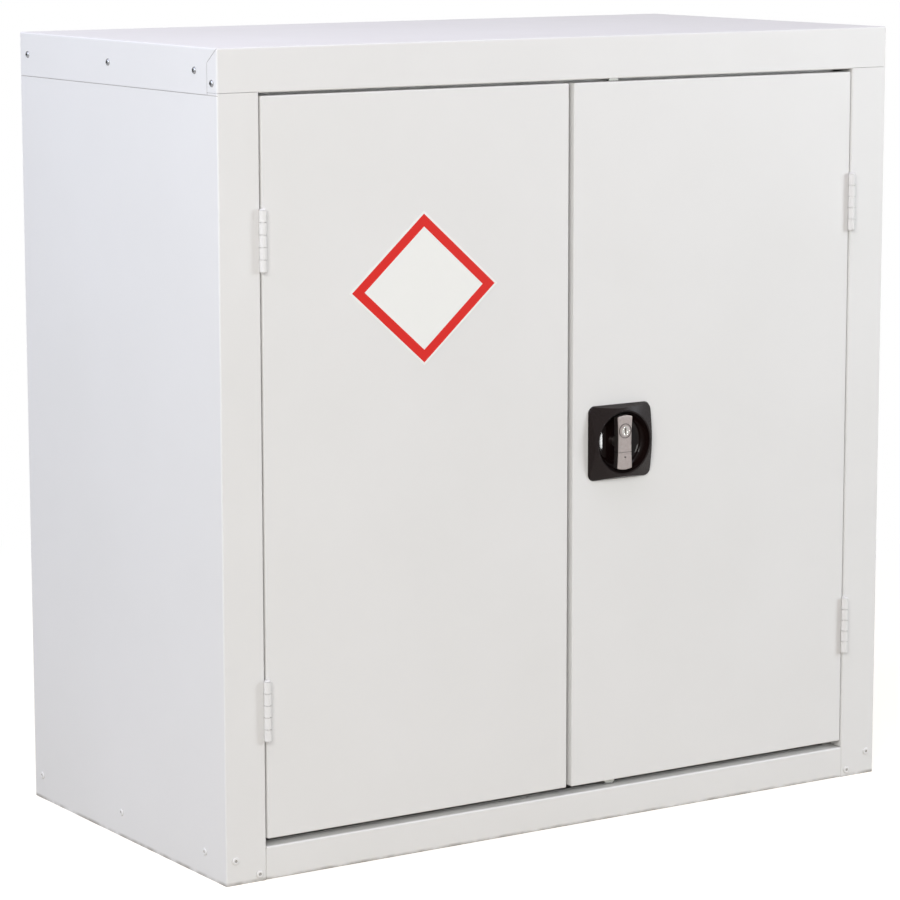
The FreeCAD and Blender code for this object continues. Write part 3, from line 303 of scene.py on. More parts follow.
@dataclass(frozen=True)
class MouldedPlastic(Finish):
    """Injection-moulded ABS: black, with the fine spark-eroded grain of its mould on the outside.

    The round dish was polished in the mould, so it is smooth and takes small bright highlights.
    The real grain is about 0.3 mm; it is drawn at 0.7 mm so that it shows.
    """

    colour: str = "130b0a"
    worn: str = "1c1211"
    grain_mm: float = 0.7
    bloom_mm: float = 26.0
    roughness: float = 0.27
    smoother: float = 0.05
    rougher: float = 0.07
    polish: float = 0.03
    specular: float = 0.18
    relief_mm: float = 0.015
    dish_centre: tuple[float, float, float] = (67.0, 0.0, 441.0)
    dish_radius: float = 36.2
    dish_blur: float = 0.4

    def shade(self, tree: bpy.types.NodeTree, place: bpy.types.NodeSocket) -> bpy.types.Node:
        """A near-black base with a paler bloom, and the mould's grain as relief.

        Args:
            tree: the material's tree.
            place: the object's own coordinates.

        Returns:
            The shader of the plastic.
        """
        bloom = add(tree, "ShaderNodeTexNoise", {"Scale": 1 / (self.bloom_mm * MM), "Detail": 5.0},
                    {"Vector": place})
        tone = add(tree, "ShaderNodeMix", {COLOUR_A: srgb(self.colour), COLOUR_B: srgb(self.worn)},
                   {SHARE: bloom.outputs["Fac"]}, data_type="RGBA")
        grain = add(tree, "ShaderNodeTexNoise", {"Scale": 1 / (self.grain_mm * MM), "Detail": 2.0},
                    {"Vector": place})
        satin = add(tree, "ShaderNodeMapRange", {"To Min": self.roughness - self.smoother,
                                                 "To Max": self.roughness + self.rougher},
                    {"Value": grain.outputs["Fac"]})
        outside = self.outside(tree, place)
        gloss = add(tree, "ShaderNodeMix", {NUMBER_A: self.polish},
                    {SHARE: outside.outputs[0], NUMBER_B: satin.outputs[0]})
        relief = add(tree, "ShaderNodeBump", {"Distance": self.relief_mm * MM},
                     {"Height": grain.outputs["Fac"], "Strength": outside.outputs[0]})
        return add(tree, "ShaderNodeBsdfPrincipled",
                   {"IOR": POLYMER_IOR, "Specular IOR Level": self.specular},
                   {"Base Color": tone.outputs[MIXED_COLOUR], "Roughness": gloss.outputs[0],
                    "Normal": relief.outputs[0]})

    def outside(self, tree: bpy.types.NodeTree, place: bpy.types.NodeSocket) -> bpy.types.Node:
        """0 within the dish's radius about its axis, 1 outside it.

        Args:
            tree: the material's tree.
            place: the object's own coordinates.

        Returns:
            The node whose first output is that value.
        """
        across = add(tree, "ShaderNodeVectorMath", {1: (1.0, 0.0, 1.0)}, {0: place},
                     operation="MULTIPLY")
        away = add(tree, "ShaderNodeVectorMath", {1: tuple(c * MM for c in self.dish_centre)},
                   {0: across.outputs[0]}, operation="DISTANCE")
        return add(tree, "ShaderNodeMapRange", {
            "From Min": (self.dish_radius - self.dish_blur) * MM,
            "From Max": (self.dish_radius + self.dish_blur) * MM},
                   {"Value": away.outputs["Value"]})


@dataclass(frozen=True)
class PlatedMetal(Finish):
    """Metal under a plated skin, whose tone and gloss drift in soft patches.

    The patches follow the size of the crystals or of the rubbing marks, which patch_mm gives.
    """

    light: str = "c9c7c5"
    dark: str = "b3b0ae"
    # Colour of the painted shade in recesses
    hollow: str = "1f1e20"
    patch_mm: float = 6.0
    grit_mm: float = 0.7
    roughness: float = 0.35
    spread: float = 0.08
    relief_mm: float = 0.01
    relief_strength: float = 0.3

    def shade(self, tree: bpy.types.NodeTree, place: bpy.types.NodeSocket) -> bpy.types.Node:
        """Two tones mixed by a noise at the patch size, which drives the gloss too.

        Args:
            tree: the material's tree.
            place: the object's own coordinates.

        Returns:
            The shader of the metal.
        """
        patch = add(tree, "ShaderNodeTexNoise", {"Scale": 1 / (self.patch_mm * MM), "Detail": 4.0},
                    {"Vector": place})
        clean = add(tree, "ShaderNodeMix", {COLOUR_A: srgb(self.dark), COLOUR_B: srgb(self.light)},
                    {SHARE: patch.outputs["Fac"]}, data_type="RGBA")
        # Painted shade: recesses mixed toward the hollow colour
        tone = add(tree, "ShaderNodeMix", {COLOUR_B: srgb(self.hollow)},
                   {SHARE: self.painted_recess_shade(tree, place), COLOUR_A: clean.outputs[MIXED_COLOUR]},
                   data_type="RGBA")
        gloss = add(tree, "ShaderNodeMapRange", {"To Min": self.roughness - self.spread,
                                                 "To Max": self.roughness + self.spread},
                    {"Value": patch.outputs["Fac"]})
        grit = add(tree, "ShaderNodeTexNoise", {"Scale": 1 / (self.grit_mm * MM), "Detail": 2.0},
                   {"Vector": place})
        relief = add(tree, "ShaderNodeBump", {"Strength": self.relief_strength,
                                                "Distance": self.relief_mm * MM},
                     {"Height": grit.outputs["Fac"]})
        return add(tree, "ShaderNodeBsdfPrincipled", {"Metallic": 1.0},
                   {"Base Color": tone.outputs[MIXED_COLOUR], "Roughness": gloss.outputs[0],
                    "Normal": relief.outputs[0]})

    def painted_recess_shade(self, tree: bpy.types.NodeTree, place: bpy.types.NodeSocket) -> bpy.types.NodeSocket:
        """Share of painted shade: the piece's own, where it has any."""
        return add(tree, "ShaderNodeAttribute", attribute_name="grime_and_painted_shade").outputs["Fac"]


@dataclass(frozen=True)
class LeverCasting(PlatedMetal):
    """A die-cast zinc lever under satin plating, with painted shade in its ring, seam and dimple."""

    face_z: float = 441.0
    axis_x: float = 67.0
    barrel_rise: float = 13.4
    ring_radius: float = 8.0
    ring_width: float = 1.1
    ring_share: float = 0.6
    seam_drop: float = 11.0
    seam_width: float = 0.9
    seam_share: float = 0.4
    dimple_drop: float = 16.8
    dimple_radius: float = 1.1

    def painted_recess_shade(self, tree: bpy.types.NodeTree, place: bpy.types.NodeSocket) -> bpy.types.NodeSocket:
        """Share of painted shade: each groove's own share within it, and none elsewhere.

        Args:
            tree: the material's tree.
            place: the object's own coordinates.

        Returns:
            The output that carries the share.
        """
        flat = add(tree, "ShaderNodeVectorMath", {1: (1.0, 0.0, 1.0)}, {0: place},
                   operation="MULTIPLY")
        high = add(tree, "ShaderNodeSeparateXYZ", links={0: place})
        # Painted shade in the seam groove, the ring round the key barrel and the dimple
        seam = add(tree, "ShaderNodeMath", {1: (self.face_z - self.seam_drop) * MM,
                                            2: self.seam_width / 2 * MM},
                   {0: high.outputs["Z"]}, operation="COMPARE")
        most = add(tree, "ShaderNodeMath", {1: self.seam_share}, {0: seam.outputs[0]},
                   operation="MULTIPLY")
        for drop, radius, width in ((-self.barrel_rise, self.ring_radius, self.ring_width),
                                    (self.dimple_drop, 0.0, self.dimple_radius * 2)):
            centre = (self.axis_x * MM, 0.0, (self.face_z - drop) * MM)
            away = add(tree, "ShaderNodeVectorMath", {1: centre}, {0: flat.outputs[0]},
                       operation="DISTANCE")
            within = add(tree, "ShaderNodeMath", {1: radius * MM, 2: width / 2 * MM},
                         {0: away.outputs["Value"]}, operation="COMPARE")
            share = add(tree, "ShaderNodeMath", {1: self.ring_share}, {0: within.outputs[0]},
                        operation="MULTIPLY")
            most = add(tree, "ShaderNodeMath", links={0: most.outputs[0], 1: share.outputs[0]},
                       operation="MAXIMUM")
        return most.outputs[0]


@dataclass(frozen=True)
class SoftRubber(Finish):
    """Moulded rubber: dull and dark, with a faint dusty bloom."""

    colour: str = "1b1b1c"
    dusty: str = "343332"
    speck_mm: float = 1.7
    roughness: float = 0.8
    ior: float = 1.52

    def shade(self, tree: bpy.types.NodeTree, place: bpy.types.NodeSocket) -> bpy.types.Node:
        """A dark base with dusty soft specks.

        Args:
            tree: the material's tree.
            place: the object's own coordinates.

        Returns:
            The shader of the rubber.
        """
        speck = add(tree, "ShaderNodeTexNoise", {"Scale": 1 / (self.speck_mm * MM), "Detail": 3.0},
                    {"Vector": place})
        tone = add(tree, "ShaderNodeMix", {COLOUR_A: srgb(self.colour), COLOUR_B: srgb(self.dusty)},
                   {SHARE: speck.outputs["Fac"]}, data_type="RGBA")
        return add(tree, "ShaderNodeBsdfPrincipled", {"Roughness": self.roughness, "IOR": self.ior},
                   {"Base Color": tone.outputs[MIXED_COLOUR]})


@dataclass(frozen=True)
class PrintedVinyl(Finish):
    """Screen-printed vinyl film under a clear coat: even colour and a smooth sheen."""

    colour: str = "f1f1ee"
    mottle: str = "f0f0ed"
    mottle_mm: float = 4.0
    roughness: float = 0.34
    ior: float = 1.46
    specular: float = 0.3

    def shade(self, tree: bpy.types.NodeTree, place: bpy.types.NodeSocket) -> bpy.types.Node:
        """One colour with the faint mottle of the ink.

        Args:
            tree: the material's tree.
            place: the object's own coordinates.

        Returns:
            The shader of the film.
        """
        ink = add(tree, "ShaderNodeTexNoise", {"Scale": 1 / (self.mottle_mm * MM), "Detail": 2.0},
                  {"Vector": place})
        tone = add(tree, "ShaderNodeMix", {COLOUR_A: srgb(self.mottle), COLOUR_B: srgb(self.colour)},
                   {SHARE: ink.outputs["Fac"]}, data_type="RGBA")
        return add(tree, "ShaderNodeBsdfPrincipled",
                   {"Roughness": self.roughness, "IOR": self.ior,
                    "Specular IOR Level": self.specular},
                   {"Base Color": tone.outputs[MIXED_COLOUR]})


@dataclass(frozen=True)
class StudioPaper(Finish):
    """White paper floor that reads white to the camera and still takes the object's shadow."""

    colour: str = "bdb6aa"
    lift: float = 0.74
    near_mm: float = 900.0
    far_mm: float = 1700.0

    def shade(self, tree: bpy.types.NodeTree, place: bpy.types.NodeSocket) -> bpy.types.Node:
        """A diffuse sheet with white added for camera and glossy rays, all white further out.

        Args:
            tree: the material's tree.
            place: the object's own coordinates.

        Returns:
            The shader of the paper.
        """
        rays = add(tree, "ShaderNodeLightPath")
        seen = add(tree, "ShaderNodeMath", links={0: rays.outputs["Is Camera Ray"],
                                                  1: rays.outputs["Is Glossy Ray"]},
                   operation="MAXIMUM")
        lift = add(tree, "ShaderNodeMath", {1: self.lift}, {0: seen.outputs[0]}, operation="MULTIPLY")
        glow = add(tree, "ShaderNodeEmission", links={"Strength": lift.outputs[0]})
        sheet = add(tree, "ShaderNodeBsdfDiffuse", {"Color": srgb(self.colour)})
        lit = add(tree, "ShaderNodeAddShader", links={0: sheet.outputs[0], 1: glow.outputs[0]})
        away = add(tree, "ShaderNodeVectorMath", links={0: place}, operation="LENGTH")
        ring = add(tree, "ShaderNodeMapRange", {"From Min": self.near_mm * MM,
                                                "From Max": self.far_mm * MM},
                   {"Value": away.outputs["Value"]}, interpolation_type="SMOOTHSTEP")
        share = add(tree, "ShaderNodeMath", links={0: ring.outputs[0], 1: seen.outputs[0]},
                    operation="MULTIPLY")
        white = add(tree, "ShaderNodeEmission", {"Strength": 1.0})
        return add(tree, "ShaderNodeMixShader", links={0: share.outputs[0], 1: lit.outputs[0],
                                                       2: white.outputs[0]})


CABINET_COAT = PowderCoat("powder_coated_steel")
INNER_COAT = PowderCoat("powder_coated_steel_inside", floor_share=0.0)
# The strip's own cream tint, made paler than the cabinet's coat as painted light for the light that
# reaches into the door gap
LIT_STRIP_COAT = PowderCoat("cream_strip_coat_with_painted_light", light="f8f8f1", dark="f3f3ec",
                        floor_share=0.0)
# Coat with painted shadow lines along the seams of the cap and the sides
SEAM_SHADOW_COAT = SeamShadowCoat("powder_coated_steel_painted_seam_shadow")
BLACK_ABS = MouldedPlastic("moulded_black_abs")
LEVER_CASTING = LeverCasting("satin_plated_casting", light="a49b97", dark="8b827f", patch_mm=3.0,
                             roughness=0.38)
NICKEL = PlatedMetal("nickel_plated_brass", light="cfccc8", dark="b5b1ad", patch_mm=4.0,
                     roughness=0.2, spread=0.05)
BRIGHT_ZINC = PlatedMetal("bright_zinc_screws", light="a8a9ab", dark="85878a", patch_mm=2.0,
                          roughness=0.22)
ZINC = PlatedMetal("zinc_plated_steel", light="c6c5bd", dark="a3a49f", patch_mm=7.0, roughness=0.42)
RUBBER = SoftRubber("moulded_rubber")
WHITE_VINYL = PrintedVinyl("white_vinyl")
RED_VINYL = PrintedVinyl("red_printed_vinyl", colour="e0251c", mottle="d62722")
PAPER = StudioPaper("studio_paper")


# Surfaces
def surface(name: str, points: np.ndarray, finish: Finish, grime_and_painted_shade: np.ndarray | None = None,
            wrap: bool = True, sharp_degrees: float = 34.0) -> bpy.types.Object:
    """Makes an object from a grid of points.

    The grid is quads between neighbours. Points that fall together, as at a pole, become one, and a
    quad that loses a side there becomes a triangle. A closed surface is turned so that its volume,
    summed over its faces, is positive.

    Args:
        name: the new piece's name.
        points: array of rows, columns and x, y, z in millimetres; several grids may be stacked first.
        finish: the finish it takes.
        grime_and_painted_shade: share of painted shade at each point, if any.
        wrap: whether the last column joins the first.
        sharp_degrees: faces that meet at more than this stay sharp.

    Returns:
        The new object, at the origin.
    """
    grids = points if points.ndim == 4 else points[None]
    count, rows, columns = grids.shape[:3]
    index = np.arange(count * rows * columns).reshape(count, rows, columns)
    right = np.roll(index, -1, axis=2) if wrap else index[:, :, 1:]
    left = index if wrap else index[:, :, :-1]
    quads = np.stack([left[:, :-1], left[:, 1:], right[:, 1:], right[:, :-1]], axis=-1).reshape(-1, 4)
    verts, first, same = np.unique(np.round(grids.reshape(-1, 3), WELD_DIGITS), axis=0,
                                   return_index=True, return_inverse=True)
    quads = same.reshape(-1)[quads]
    doubled = quads == np.roll(quads, -1, axis=1)
    whole = quads[~doubled.any(axis=1)]
    short = quads[doubled.sum(axis=1) == 1]
    keep = ~doubled[doubled.sum(axis=1) == 1]
    triangles = short[keep].reshape(-1, 3)
    corners = np.concatenate([whole[:, [0, 1, 2]], whole[:, [0, 2, 3]], triangles])
    a, b, c = (verts[corners[:, i]] for i in range(3))
    if np.einsum("ij,ij->", a, np.cross(b, c)) < 0:
        whole, triangles = whole[:, ::-1], triangles[:, ::-1]
    mesh = bpy.data.meshes.new(name)
    mesh.from_pydata((verts * MM).tolist(), [], whole.tolist() + triangles.tolist())
    mesh.polygons.foreach_set("use_smooth", np.ones(len(mesh.polygons), bool))
    mesh.set_sharp_from_angle(angle=math.radians(sharp_degrees))
    if grime_and_painted_shade is not None:
        share = mesh.attributes.new("grime_and_painted_shade", "FLOAT", "POINT")
        share.data.foreach_set("value", grime_and_painted_shade.reshape(-1)[first].astype(np.float32))
    mesh.materials.append(finish.material())
    piece = bpy.data.objects.new(name, mesh)
    bpy.context.scene.collection.objects.link(piece)
    return piece


def turned(profile: Sequence[tuple[float, float]], centre: Sequence[float], axis: Axis,
           steps: int = 40) -> np.ndarray:
    """A profile spun about an axis.

    Each point is the centre, plus its height along the axis, plus its radius times the cosine and
    sine of the angle along the two directions across it.

    Args:
        profile: radius and height pairs in millimetres.
        centre: where the axis starts.
        axis: the way the axis points.
        steps: points round the circle.

    Returns:
        A grid of the profile's length by steps.
    """
    along, across, other = (np.array(v, float) for v in axis.value)
    radius, height = (np.array(column, float)[:, None, None] for column in zip(*profile))
    angle = np.linspace(0, 2 * math.pi, steps, endpoint=False)[None, :, None]
    return np.array(centre, float) + height * along + radius * (np.cos(angle) * across
                                                                 + np.sin(angle) * other)


def dress(nodes: Iterable[str], finish: Finish) -> None:
    """Gives a finish to CAD nodes.

    Args:
        nodes: the nodes' names.
        finish: the finish they take.
    """
    for name in nodes:
        node = frame["nodes"][name]
        if not node.material_slots:
            node.data.materials.append(finish.material())
        for slot in node.material_slots:
            slot.material = finish.material()
    LOG.info("%s on %s", finish.name, ", ".join(nodes))


def fit(piece: bpy.types.Object, body: str, stands_for: Sequence[str] = ()
        ) -> bpy.types.Object:
    """Makes a piece ride on a body, hides the CAD nodes that it stands for, and logs the body.

    Args:
        piece: the new piece.
        body: the body that carries it.
        stands_for: CAD nodes that it replaces.

    Returns:
        The same piece.
    """
    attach(piece, body)
    if stands_for:
        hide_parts(*stands_for)
    LOG.info("%s rides on %s", piece.name, body)
    return piece


# Sub-assemblies
@dataclass
class Carcass:
    """The folded sheets of the cupboard's body.

    Its coat goes on every CAD node first. The classes that follow change the nodes that differ.
    """

    seamed: tuple[str, ...] = ("top_cap", "left_side_panel", "right_side_panel")
    inside: tuple[str, ...] = ("base_sump", "back_panel")

    def build(self) -> None:
        """Coats everything, and paints shadow lines along the seams of the cap and the sides."""
        dress(frame["nodes"], CABINET_COAT)
        dress(self.seamed, SEAM_SHADOW_COAT)
        dress(self.inside, INNER_COAT)


@dataclass
class Shelf:
    """The lipped shelf tray on the plated clips that hook into the uprights."""

    tray: str = "shelf_tray"
    clips: str = "shelf_clips"

    def build(self) -> None:
        """Dresses the tray and its clips."""
        dress([self.tray], INNER_COAT)
        dress([self.clips], ZINC)


@dataclass
class Doors:
    """The strip behind the gap between the doors, and the rubber buffers that they shut on."""

    strip: str = "closing_strip"
    buffers: str = "door_buffers"

    def build(self) -> None:
        """Dresses the strip and the buffers."""
        # The strip's coat carries painted light
        dress([self.strip], LIT_STRIP_COAT)
        dress([self.buffers], RUBBER)


@dataclass
class RodLock:
    """The dished escutcheon, the lever with its key barrel, and the plated works behind the door."""

    escutcheon: str = "lock_escutcheon"
    lever: str = "lock_lever"
    barrel: str = "key_barrel"
    works: tuple[str, ...] = ("lock_spindle", "lock_cam", "cam_screw", "lock_clamp_plate",
                              "lock_clamp_screws", "upper_lock_rod", "lower_lock_rod", "rod_guides")

    def build(self) -> None:
        """Dresses the lock's pieces."""
        dress([self.escutcheon], BLACK_ABS)
        dress([self.lever], LEVER_CASTING)
        dress([self.barrel], NICKEL)
        dress(self.works, ZINC)


@dataclass
class Fasteners:
    """Blind rivets and cross-recessed screws, spun or shaped from their profiles."""

    half_width: float = 450.0
    half_depth: float = 230.0
    sunk: float = 2.0
    rivet_radius: float = 4.3
    rivet_high: float = 1.5
    rivet_edge: float = 0.25
    rivet_crest: float = 2.5
    rivet_shank: float = 1.6
    crater_radius: float = 1.45
    crater_floor: float = 0.3
    crater_foot: float = 0.35
    crater_bevel: float = 0.35
    stub_radius: float = 0.8
    stub_high: float = 0.95
    ease: float = 0.1
    rivet_steps: int = 40
    screw_radius: float = 4.0
    screw_high: float = 2.1
    screw_shank: float = 1.8
    screw_fullness: float = 2.6
    cross_reach: float = 2.3
    cross_half_width: float = 0.62
    cross_depth: float = 1.1
    cross_edge: float = 0.12
    screw_rings: int = 26
    screw_steps: int = 64
    turn_seed: int = 11
    side_rivets: tuple[tuple[float, float], ...] = ((-183.0, 28.5), (11.0, 28.5), (210.0, 28.5))
    side_screws: tuple[tuple[float, float], ...] = (
        (-219.0, 863.0), (-182.0, 875.0), (13.0, 875.0), (210.0, 875.0))
    stile_rivets: tuple[tuple[float, float], ...] = ((438.4, 27.0), (408.6, 8.0))
    back_heights: tuple[float, ...] = (60.0, 240.0, 420.0, 600.0, 780.0)
    back_inset: float = 10.0

    def rivet_profile(self) -> list[tuple[float, float]]:
        """A low domed flange, and a crater in its middle that holds the mandrel's broken end.

        The dome is a quarter of an ellipse from the flange's edge to its crest.

        Returns:
            Radius and height pairs, from the shank's end round to the top of the stub.
        """
        crest, top = self.rivet_crest, self.rivet_high
        pit, stub = self.crater_radius, self.stub_radius
        bend = np.linspace(0, math.pi / 2, 9)
        under = [(0, -self.sunk), (self.rivet_shank, -self.sunk), (self.rivet_shank, 0),
                 (self.rivet_radius, 0)]
        dome = [(crest + (self.rivet_radius - crest) * math.cos(t),
                 self.rivet_edge + (top - self.rivet_edge) * math.sin(t)) for t in bend]
        crater = [(pit + self.crater_bevel, top - self.ease), (pit, top - self.crater_bevel),
                  (pit - self.ease, self.crater_foot)]
        mandrel = [(stub + self.ease, self.crater_floor), (stub, self.stub_high),
                   (0, self.stub_high + self.ease)]
        return under + dome + crater + mandrel

    def rivet_painted_shade(self) -> np.ndarray:
        """Painted shade for each row of the rivet: a ring under the flange, and some down in the
        crater.

        Returns:
            The share of painted shade at each point of the rivet's grid.
        """
        share = np.zeros(len(self.rivet_profile()))
        # Painted shade: down in the crater and on the mandrel's stub, and round the flange's foot
        share[-5:] = (0.2, 1.0, 1.0, 0.5, 0.5)
        share[3:5] = 0.5
        return np.repeat(share[:, None], self.rivet_steps, axis=1)

    def screw(self, centre: Sequence[float], axis: Axis, turn: float
              ) -> tuple[np.ndarray, np.ndarray]:
        """A pan head with a cross sunk in it.

        Height over the head is the dome, less the recess depth wherever the point lies within either
        bar of the cross. The bars' edges fall over a tenth of a millimetre.

        Args:
            centre: the middle of the head's flat side.
            axis: the way the head points.
            turn: the cross's turn in radians.

        Returns:
            A closed grid, and its painted shade, which fills the cross.
        """
        along, across, other = (np.array(v, float) for v in axis.value)
        share = np.linspace(0, 1, self.screw_rings)[:, None]
        angle = np.linspace(0, 2 * math.pi, self.screw_steps, endpoint=False)[None, :]
        radius = self.screw_radius * share
        x, y = radius * np.cos(angle), radius * np.sin(angle)
        u = x * math.cos(turn) + y * math.sin(turn)
        v = -x * math.sin(turn) + y * math.cos(turn)

        def bar(length: np.ndarray, width: np.ndarray) -> np.ndarray:
            """Share of the recess at a point of one bar: 1 inside, 0 outside."""
            near = np.minimum(self.cross_reach - np.abs(length),
                              self.cross_half_width - np.abs(width))
            return np.clip(near / self.cross_edge + 0.5, 0, 1)

        dome = (self.screw_high * np.sqrt(np.clip(1 - share ** self.screw_fullness, 0, 1))
                * np.ones_like(angle))
        # The recess's share doubles as its painted shade
        cross = np.maximum(bar(u, v), bar(v, u))
        high = dome - self.cross_depth * cross
        top = (np.array(centre, float) + x[..., None] * across + y[..., None] * other
               + high[..., None] * along)
        side = self.screw_shank
        shank = turned([(side, 0.0), (side, -self.sunk), (0.0, -self.sunk)], centre, axis,
                       self.screw_steps)
        return np.concatenate([top, shank]), np.concatenate([cross, np.zeros(shank.shape[:2])])

    def sides(self, places: Iterable[tuple[float, float]]) -> list[tuple[tuple[float, ...], Axis]]:
        """The same places on both side walls."""
        return [((side * self.half_width, y, z), axis)
                for side, axis in ((-1, Axis.LEFT), (1, Axis.RIGHT)) for y, z in places]

    def build(self) -> None:
        """Makes the three sets of fasteners and seats them on the carcass."""
        rivets = self.sides(self.side_rivets) + [
            ((side * x, -self.half_depth, z), Axis.FRONT)
            for side in (-1, 1) for x, z in self.stile_rivets]
        backs = [((side * (self.half_width - self.back_inset), self.half_depth, z), Axis.BACK)
                 for side in (-1, 1) for z in self.back_heights]
        for name, node, places in (("blind_rivets", "base_rivets", rivets),
                                   ("rear_blind_rivets", "back_rivets", backs)):
            grids = np.stack([turned(self.rivet_profile(), centre, axis, self.rivet_steps)
                              for centre, axis in places])
            # The rivets carry their painted shade as a point attribute
            grime_and_painted_shade = np.stack([self.rivet_painted_shade()] * len(places))
            fit(surface(name, grids, CABINET_COAT, grime_and_painted_shade), "carcass", [node])
        screws = self.sides(self.side_screws)
        turns = np.random.default_rng(self.turn_seed).uniform(0, math.pi / 2, len(screws))
        # The cross recesses carry painted shade as a point attribute
        made = [self.screw(centre, axis, turn) for (centre, axis), turn in zip(screws, turns)]
        grids, grime_and_painted_shade = (np.stack(part) for part in zip(*made))
        fit(surface("cap_screw_heads", grids, BRIGHT_ZINC, grime_and_painted_shade), "carcass",
            ["cap_screws"])


@dataclass
class Hinges:
    """The pins of the four butt hinges, with their peened ends."""

    axis_x: float = 398.9
    axis_y: float = -234.0
    radius: float = 2.4
    tip_radius: float = 3.5
    tip: float = 1.4
    tip_rows: int = 7
    length: float = 66.0
    heights: dict[str, float] = field(default_factory=lambda: {"upper": 696.7, "lower": 188.5})

    def build(self) -> None:
        """Makes one pin for each hinge and seats it on the carcass."""
        bend = np.linspace(0, math.pi / 2, self.tip_rows)
        end = [(self.tip_radius * math.cos(t), self.tip * math.sin(t)) for t in bend]
        half = self.length / 2
        foot = [(r, -half - h) for r, h in reversed(end)]
        top = [(r, half + h) for r, h in end]
        profile = foot + [(self.radius, -half), (self.radius, half)] + top
        for side_name, side in (("left", -1), ("right", 1)):
            for level, height in self.heights.items():
                grid = turned(profile, (side * self.axis_x, self.axis_y, height), Axis.UP)
                piece = surface(f"{side_name}_{level}_peened_pin", grid, CABINET_COAT)
                fit(piece, "carcass", [f"{side_name}_{level}_hinge_pin"])


@dataclass
class DoorSticker:
    """A blank diamond of white film with a red printed edge, on the left door."""

    centre_x: float = -195.2
    centre_z: float = 633.0
    half_wide: float = 95.6
    half_high: float = 84.6
    margin: float = 0.037
    band: float = 0.166
    face_y: float = -230.0
    film: float = 0.25
    ink: float = 0.06
    side_steps: int = 24

    def diamond(self, outer: float, inner: float, back: float, thick: float) -> np.ndarray:
        """A diamond ring or plate as a closed band.

        The four corners are the centre plus the half sizes times the share of the diamond. The band
        runs back face, outer edge, front face and, where inner isn't 0, inner edge.

        Args:
            outer: share of the full diamond at the outer edge.
            inner: share at the inner edge; 0 closes it at the middle.
            back: how far its back face stands in front of the door.
            thick: how far its front face stands in front of its back.

        Returns:
            A grid of 5 rows by the points round the diamond.
        """
        way = np.linspace(0, 4, self.side_steps * 4, endpoint=False)
        corner = np.floor(way) * math.pi / 2
        share = way % 1
        x = np.cos(corner) * (1 - share) + np.cos(corner + math.pi / 2) * share
        z = np.sin(corner) * (1 - share) + np.sin(corner + math.pi / 2) * share
        front = back + thick
        rows = ((inner, back), (outer, back), (outer, front), (inner, front), (inner, back))
        return np.stack([np.stack([self.centre_x + self.half_wide * size * x,
                                   np.full_like(x, self.face_y - stand),
                                   self.centre_z + self.half_high * size * z], axis=-1)
                         for size, stand in rows])

    def build(self) -> None:
        """Makes the white film and its red edge and seats them on the left door."""
        film = surface("sticker_film", self.diamond(1.0, 0.0, 0.0, self.film), WHITE_VINYL)
        edge_in = 1 - self.margin - self.band
        edge = surface("sticker_edge", self.diamond(1 - self.margin, edge_in, self.film, self.ink),
                       RED_VINYL)
        for piece in (film, edge):
            fit(piece, "left_door")


@dataclass(frozen=True)
class StudioLamp:
    """A lamp that the camera doesn't see: a square soft box or, with a height of its own, an oval.

    Its place, its aim and its size are in metres, as Blender has them, and its power is in watts.
    """

    name: str
    place: tuple[float, float, float]
    aim: tuple[float, float, float]
    watts: float
    size: float
    colour: str
    high: float | None = None

    def hang(self) -> None:
        """Puts the lamp in its place and turns it to its aim."""
        data = bpy.data.lights.new(self.name, "AREA")
        data.energy, data.size, data.color = self.watts, self.size, srgb(self.colour)[:3]
        if self.high:
            data.shape, data.size_y = "ELLIPSE", self.high
        lamp = bpy.data.objects.new(self.name, data)
        way = (Vector(self.aim) - Vector(self.place)).to_track_quat("-Z", "Y")
        lamp.matrix_world = Matrix.Translation(Vector(self.place)) @ way.to_matrix().to_4x4()
        lamp.visible_camera = False
        bpy.context.scene.collection.objects.link(lamp)


LAMPS = (
    StudioLamp("key_soft_box", (-2.7, -3.0, 1.9), (0.0, -0.23, 0.5), 86, 1.8, "fffffb"),
    StudioLamp("right_soft_box", (2.4, -2.2, 1.2), (0.3, -0.23, 0.5), 44, 1.2, "f3f9ff"),
    StudioLamp("left_soft_box", (-2.05, 0.0, 1.6), (-0.45, 0.0, 0.8), 20.5, 1.3, "dde7ff"),
    StudioLamp("rear_soft_box", (0.9, 3.4, 0.45), (0.0, 0.23, 0.45), 42, 0.8, "ffffff"),
    StudioLamp("dish_glint_lamp", (0.5049, -0.8688, 0.3144), (0.0462, -0.226, 0.4425), 0.016, 0.005,
               "ffffff", 0.021),
    StudioLamp("top_soft_box", (-0.4, -0.6, 3.2), (0.0, 0.0, 0.9), 28, 1.6, "f1e8ff"),
)


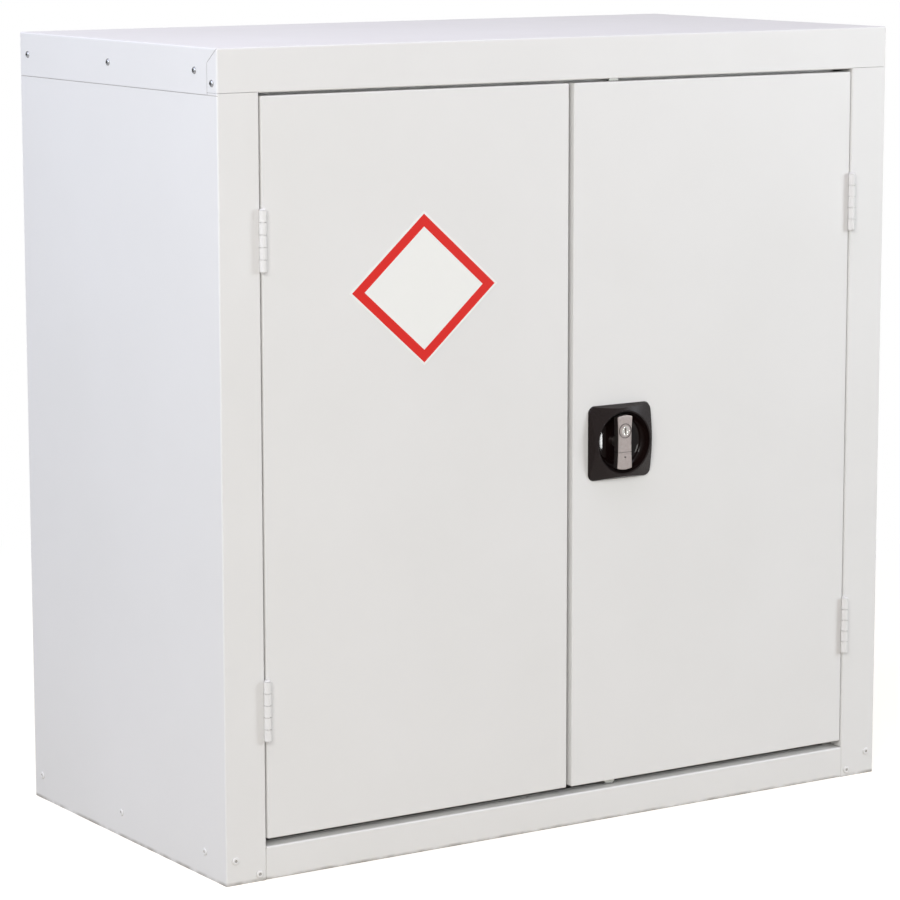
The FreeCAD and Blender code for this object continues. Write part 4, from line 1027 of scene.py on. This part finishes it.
@dataclass
class Studio:
    """A white paper floor, the lamps, and the camera where the photographer stood.

    The camera's angles are in degrees: yaw from straight at the doors to the right, pitch downwards.
    Its focal length is in points of the picture.
    """

    yaw: float = 33.009
    pitch: float = 9.363
    roll: float = -0.082
    focal_points: float = 3515.6
    picture: int = 900
    sensor: float = 36.0
    sight_metres: float = 60.0
    eye: tuple[float, float, float] = (-2243.4, -3434.1, 1081.6)
    world_strength: float = 0.2
    paper_rings: tuple[float, ...] = (0.0, 400.0, 1200.0, 4000.0, 14000.0)
    paper_steps: int = 72
    paper_drop: float = 0.2

    def camera(self) -> None:
        """Places the camera from its yaw, pitch and roll."""
        yaw, pitch, roll = (math.radians(v) for v in (self.yaw, self.pitch, self.roll))
        ahead = Vector((math.sin(yaw) * math.cos(pitch), math.cos(yaw) * math.cos(pitch),
                        -math.sin(pitch)))
        level = Vector((math.cos(yaw), -math.sin(yaw), 0))
        over = level.cross(ahead)
        right = level * math.cos(roll) + over * math.sin(roll)
        up = over * math.cos(roll) - level * math.sin(roll)
        data = bpy.data.cameras.new("camera")
        data.sensor_width = self.sensor
        data.lens = self.focal_points / self.picture * data.sensor_width
        data.clip_end = self.sight_metres
        eye = bpy.data.objects.new("camera", data)
        eye.matrix_world = Matrix.Translation(Vector(self.eye) * MM) @ Matrix(
            (right, up, -ahead)).transposed().to_4x4()
        bpy.context.scene.collection.objects.link(eye)
        bpy.context.scene.camera = eye

    def world(self) -> None:
        """White to the camera and in reflections, and a softer fill everywhere else."""
        sky = bpy.data.worlds.new("studio_white")
        sky.use_nodes = True
        tree = sky.node_tree
        tree.nodes.clear()
        rays = add(tree, "ShaderNodeLightPath")
        seen = add(tree, "ShaderNodeMath", links={0: rays.outputs["Is Camera Ray"],
                                                  1: rays.outputs["Is Glossy Ray"]},
                   operation="MAXIMUM")
        seen = add(tree, "ShaderNodeMath", links={0: seen.outputs[0],
                                                  1: rays.outputs["Is Transmission Ray"]},
                   operation="MAXIMUM")
        fill = add(tree, "ShaderNodeBackground", {"Color": srgb("ffffff"),
                                                  "Strength": self.world_strength})
        white = add(tree, "ShaderNodeBackground", {"Color": srgb("ffffff"), "Strength": 1.0})
        mixed = add(tree, "ShaderNodeMixShader", links={0: seen.outputs[0], 1: fill.outputs[0],
                                                        2: white.outputs[0]})
        add(tree, "ShaderNodeOutputWorld", links={"Surface": mixed.outputs[0]})
        bpy.context.scene.world = sky

    def floor(self) -> None:
        """A wide round sheet of paper, just under the cupboard's foot."""
        ring = np.array(self.paper_rings)[:, None]
        angle = np.linspace(0, 2 * math.pi, self.paper_steps, endpoint=False)[None, :]
        grid = np.stack([ring * np.cos(angle), ring * np.sin(angle),
                         np.zeros(ring.shape) * angle - self.paper_drop], -1)
        sheet = surface("paper_floor", grid, PAPER)

    def build(self) -> None:
        """Sets the camera, the world, the floor and the lamps."""
        self.camera()
        self.world()
        self.floor()
        for lamp in LAMPS:
            lamp.hang()
        bpy.context.scene.view_settings.view_transform = "Standard"


def main() -> None:
    """Builds the studio and every sub-assembly in order."""
    logging.basicConfig(level=logging.INFO, format="%(message)s")
    for part in (Studio(), Carcass(), Shelf(), Doors(), RodLock(), Fasteners(), Hinges(),
                 DoorSticker()):
        part.build()


if __name__ == "__main__":
    main()
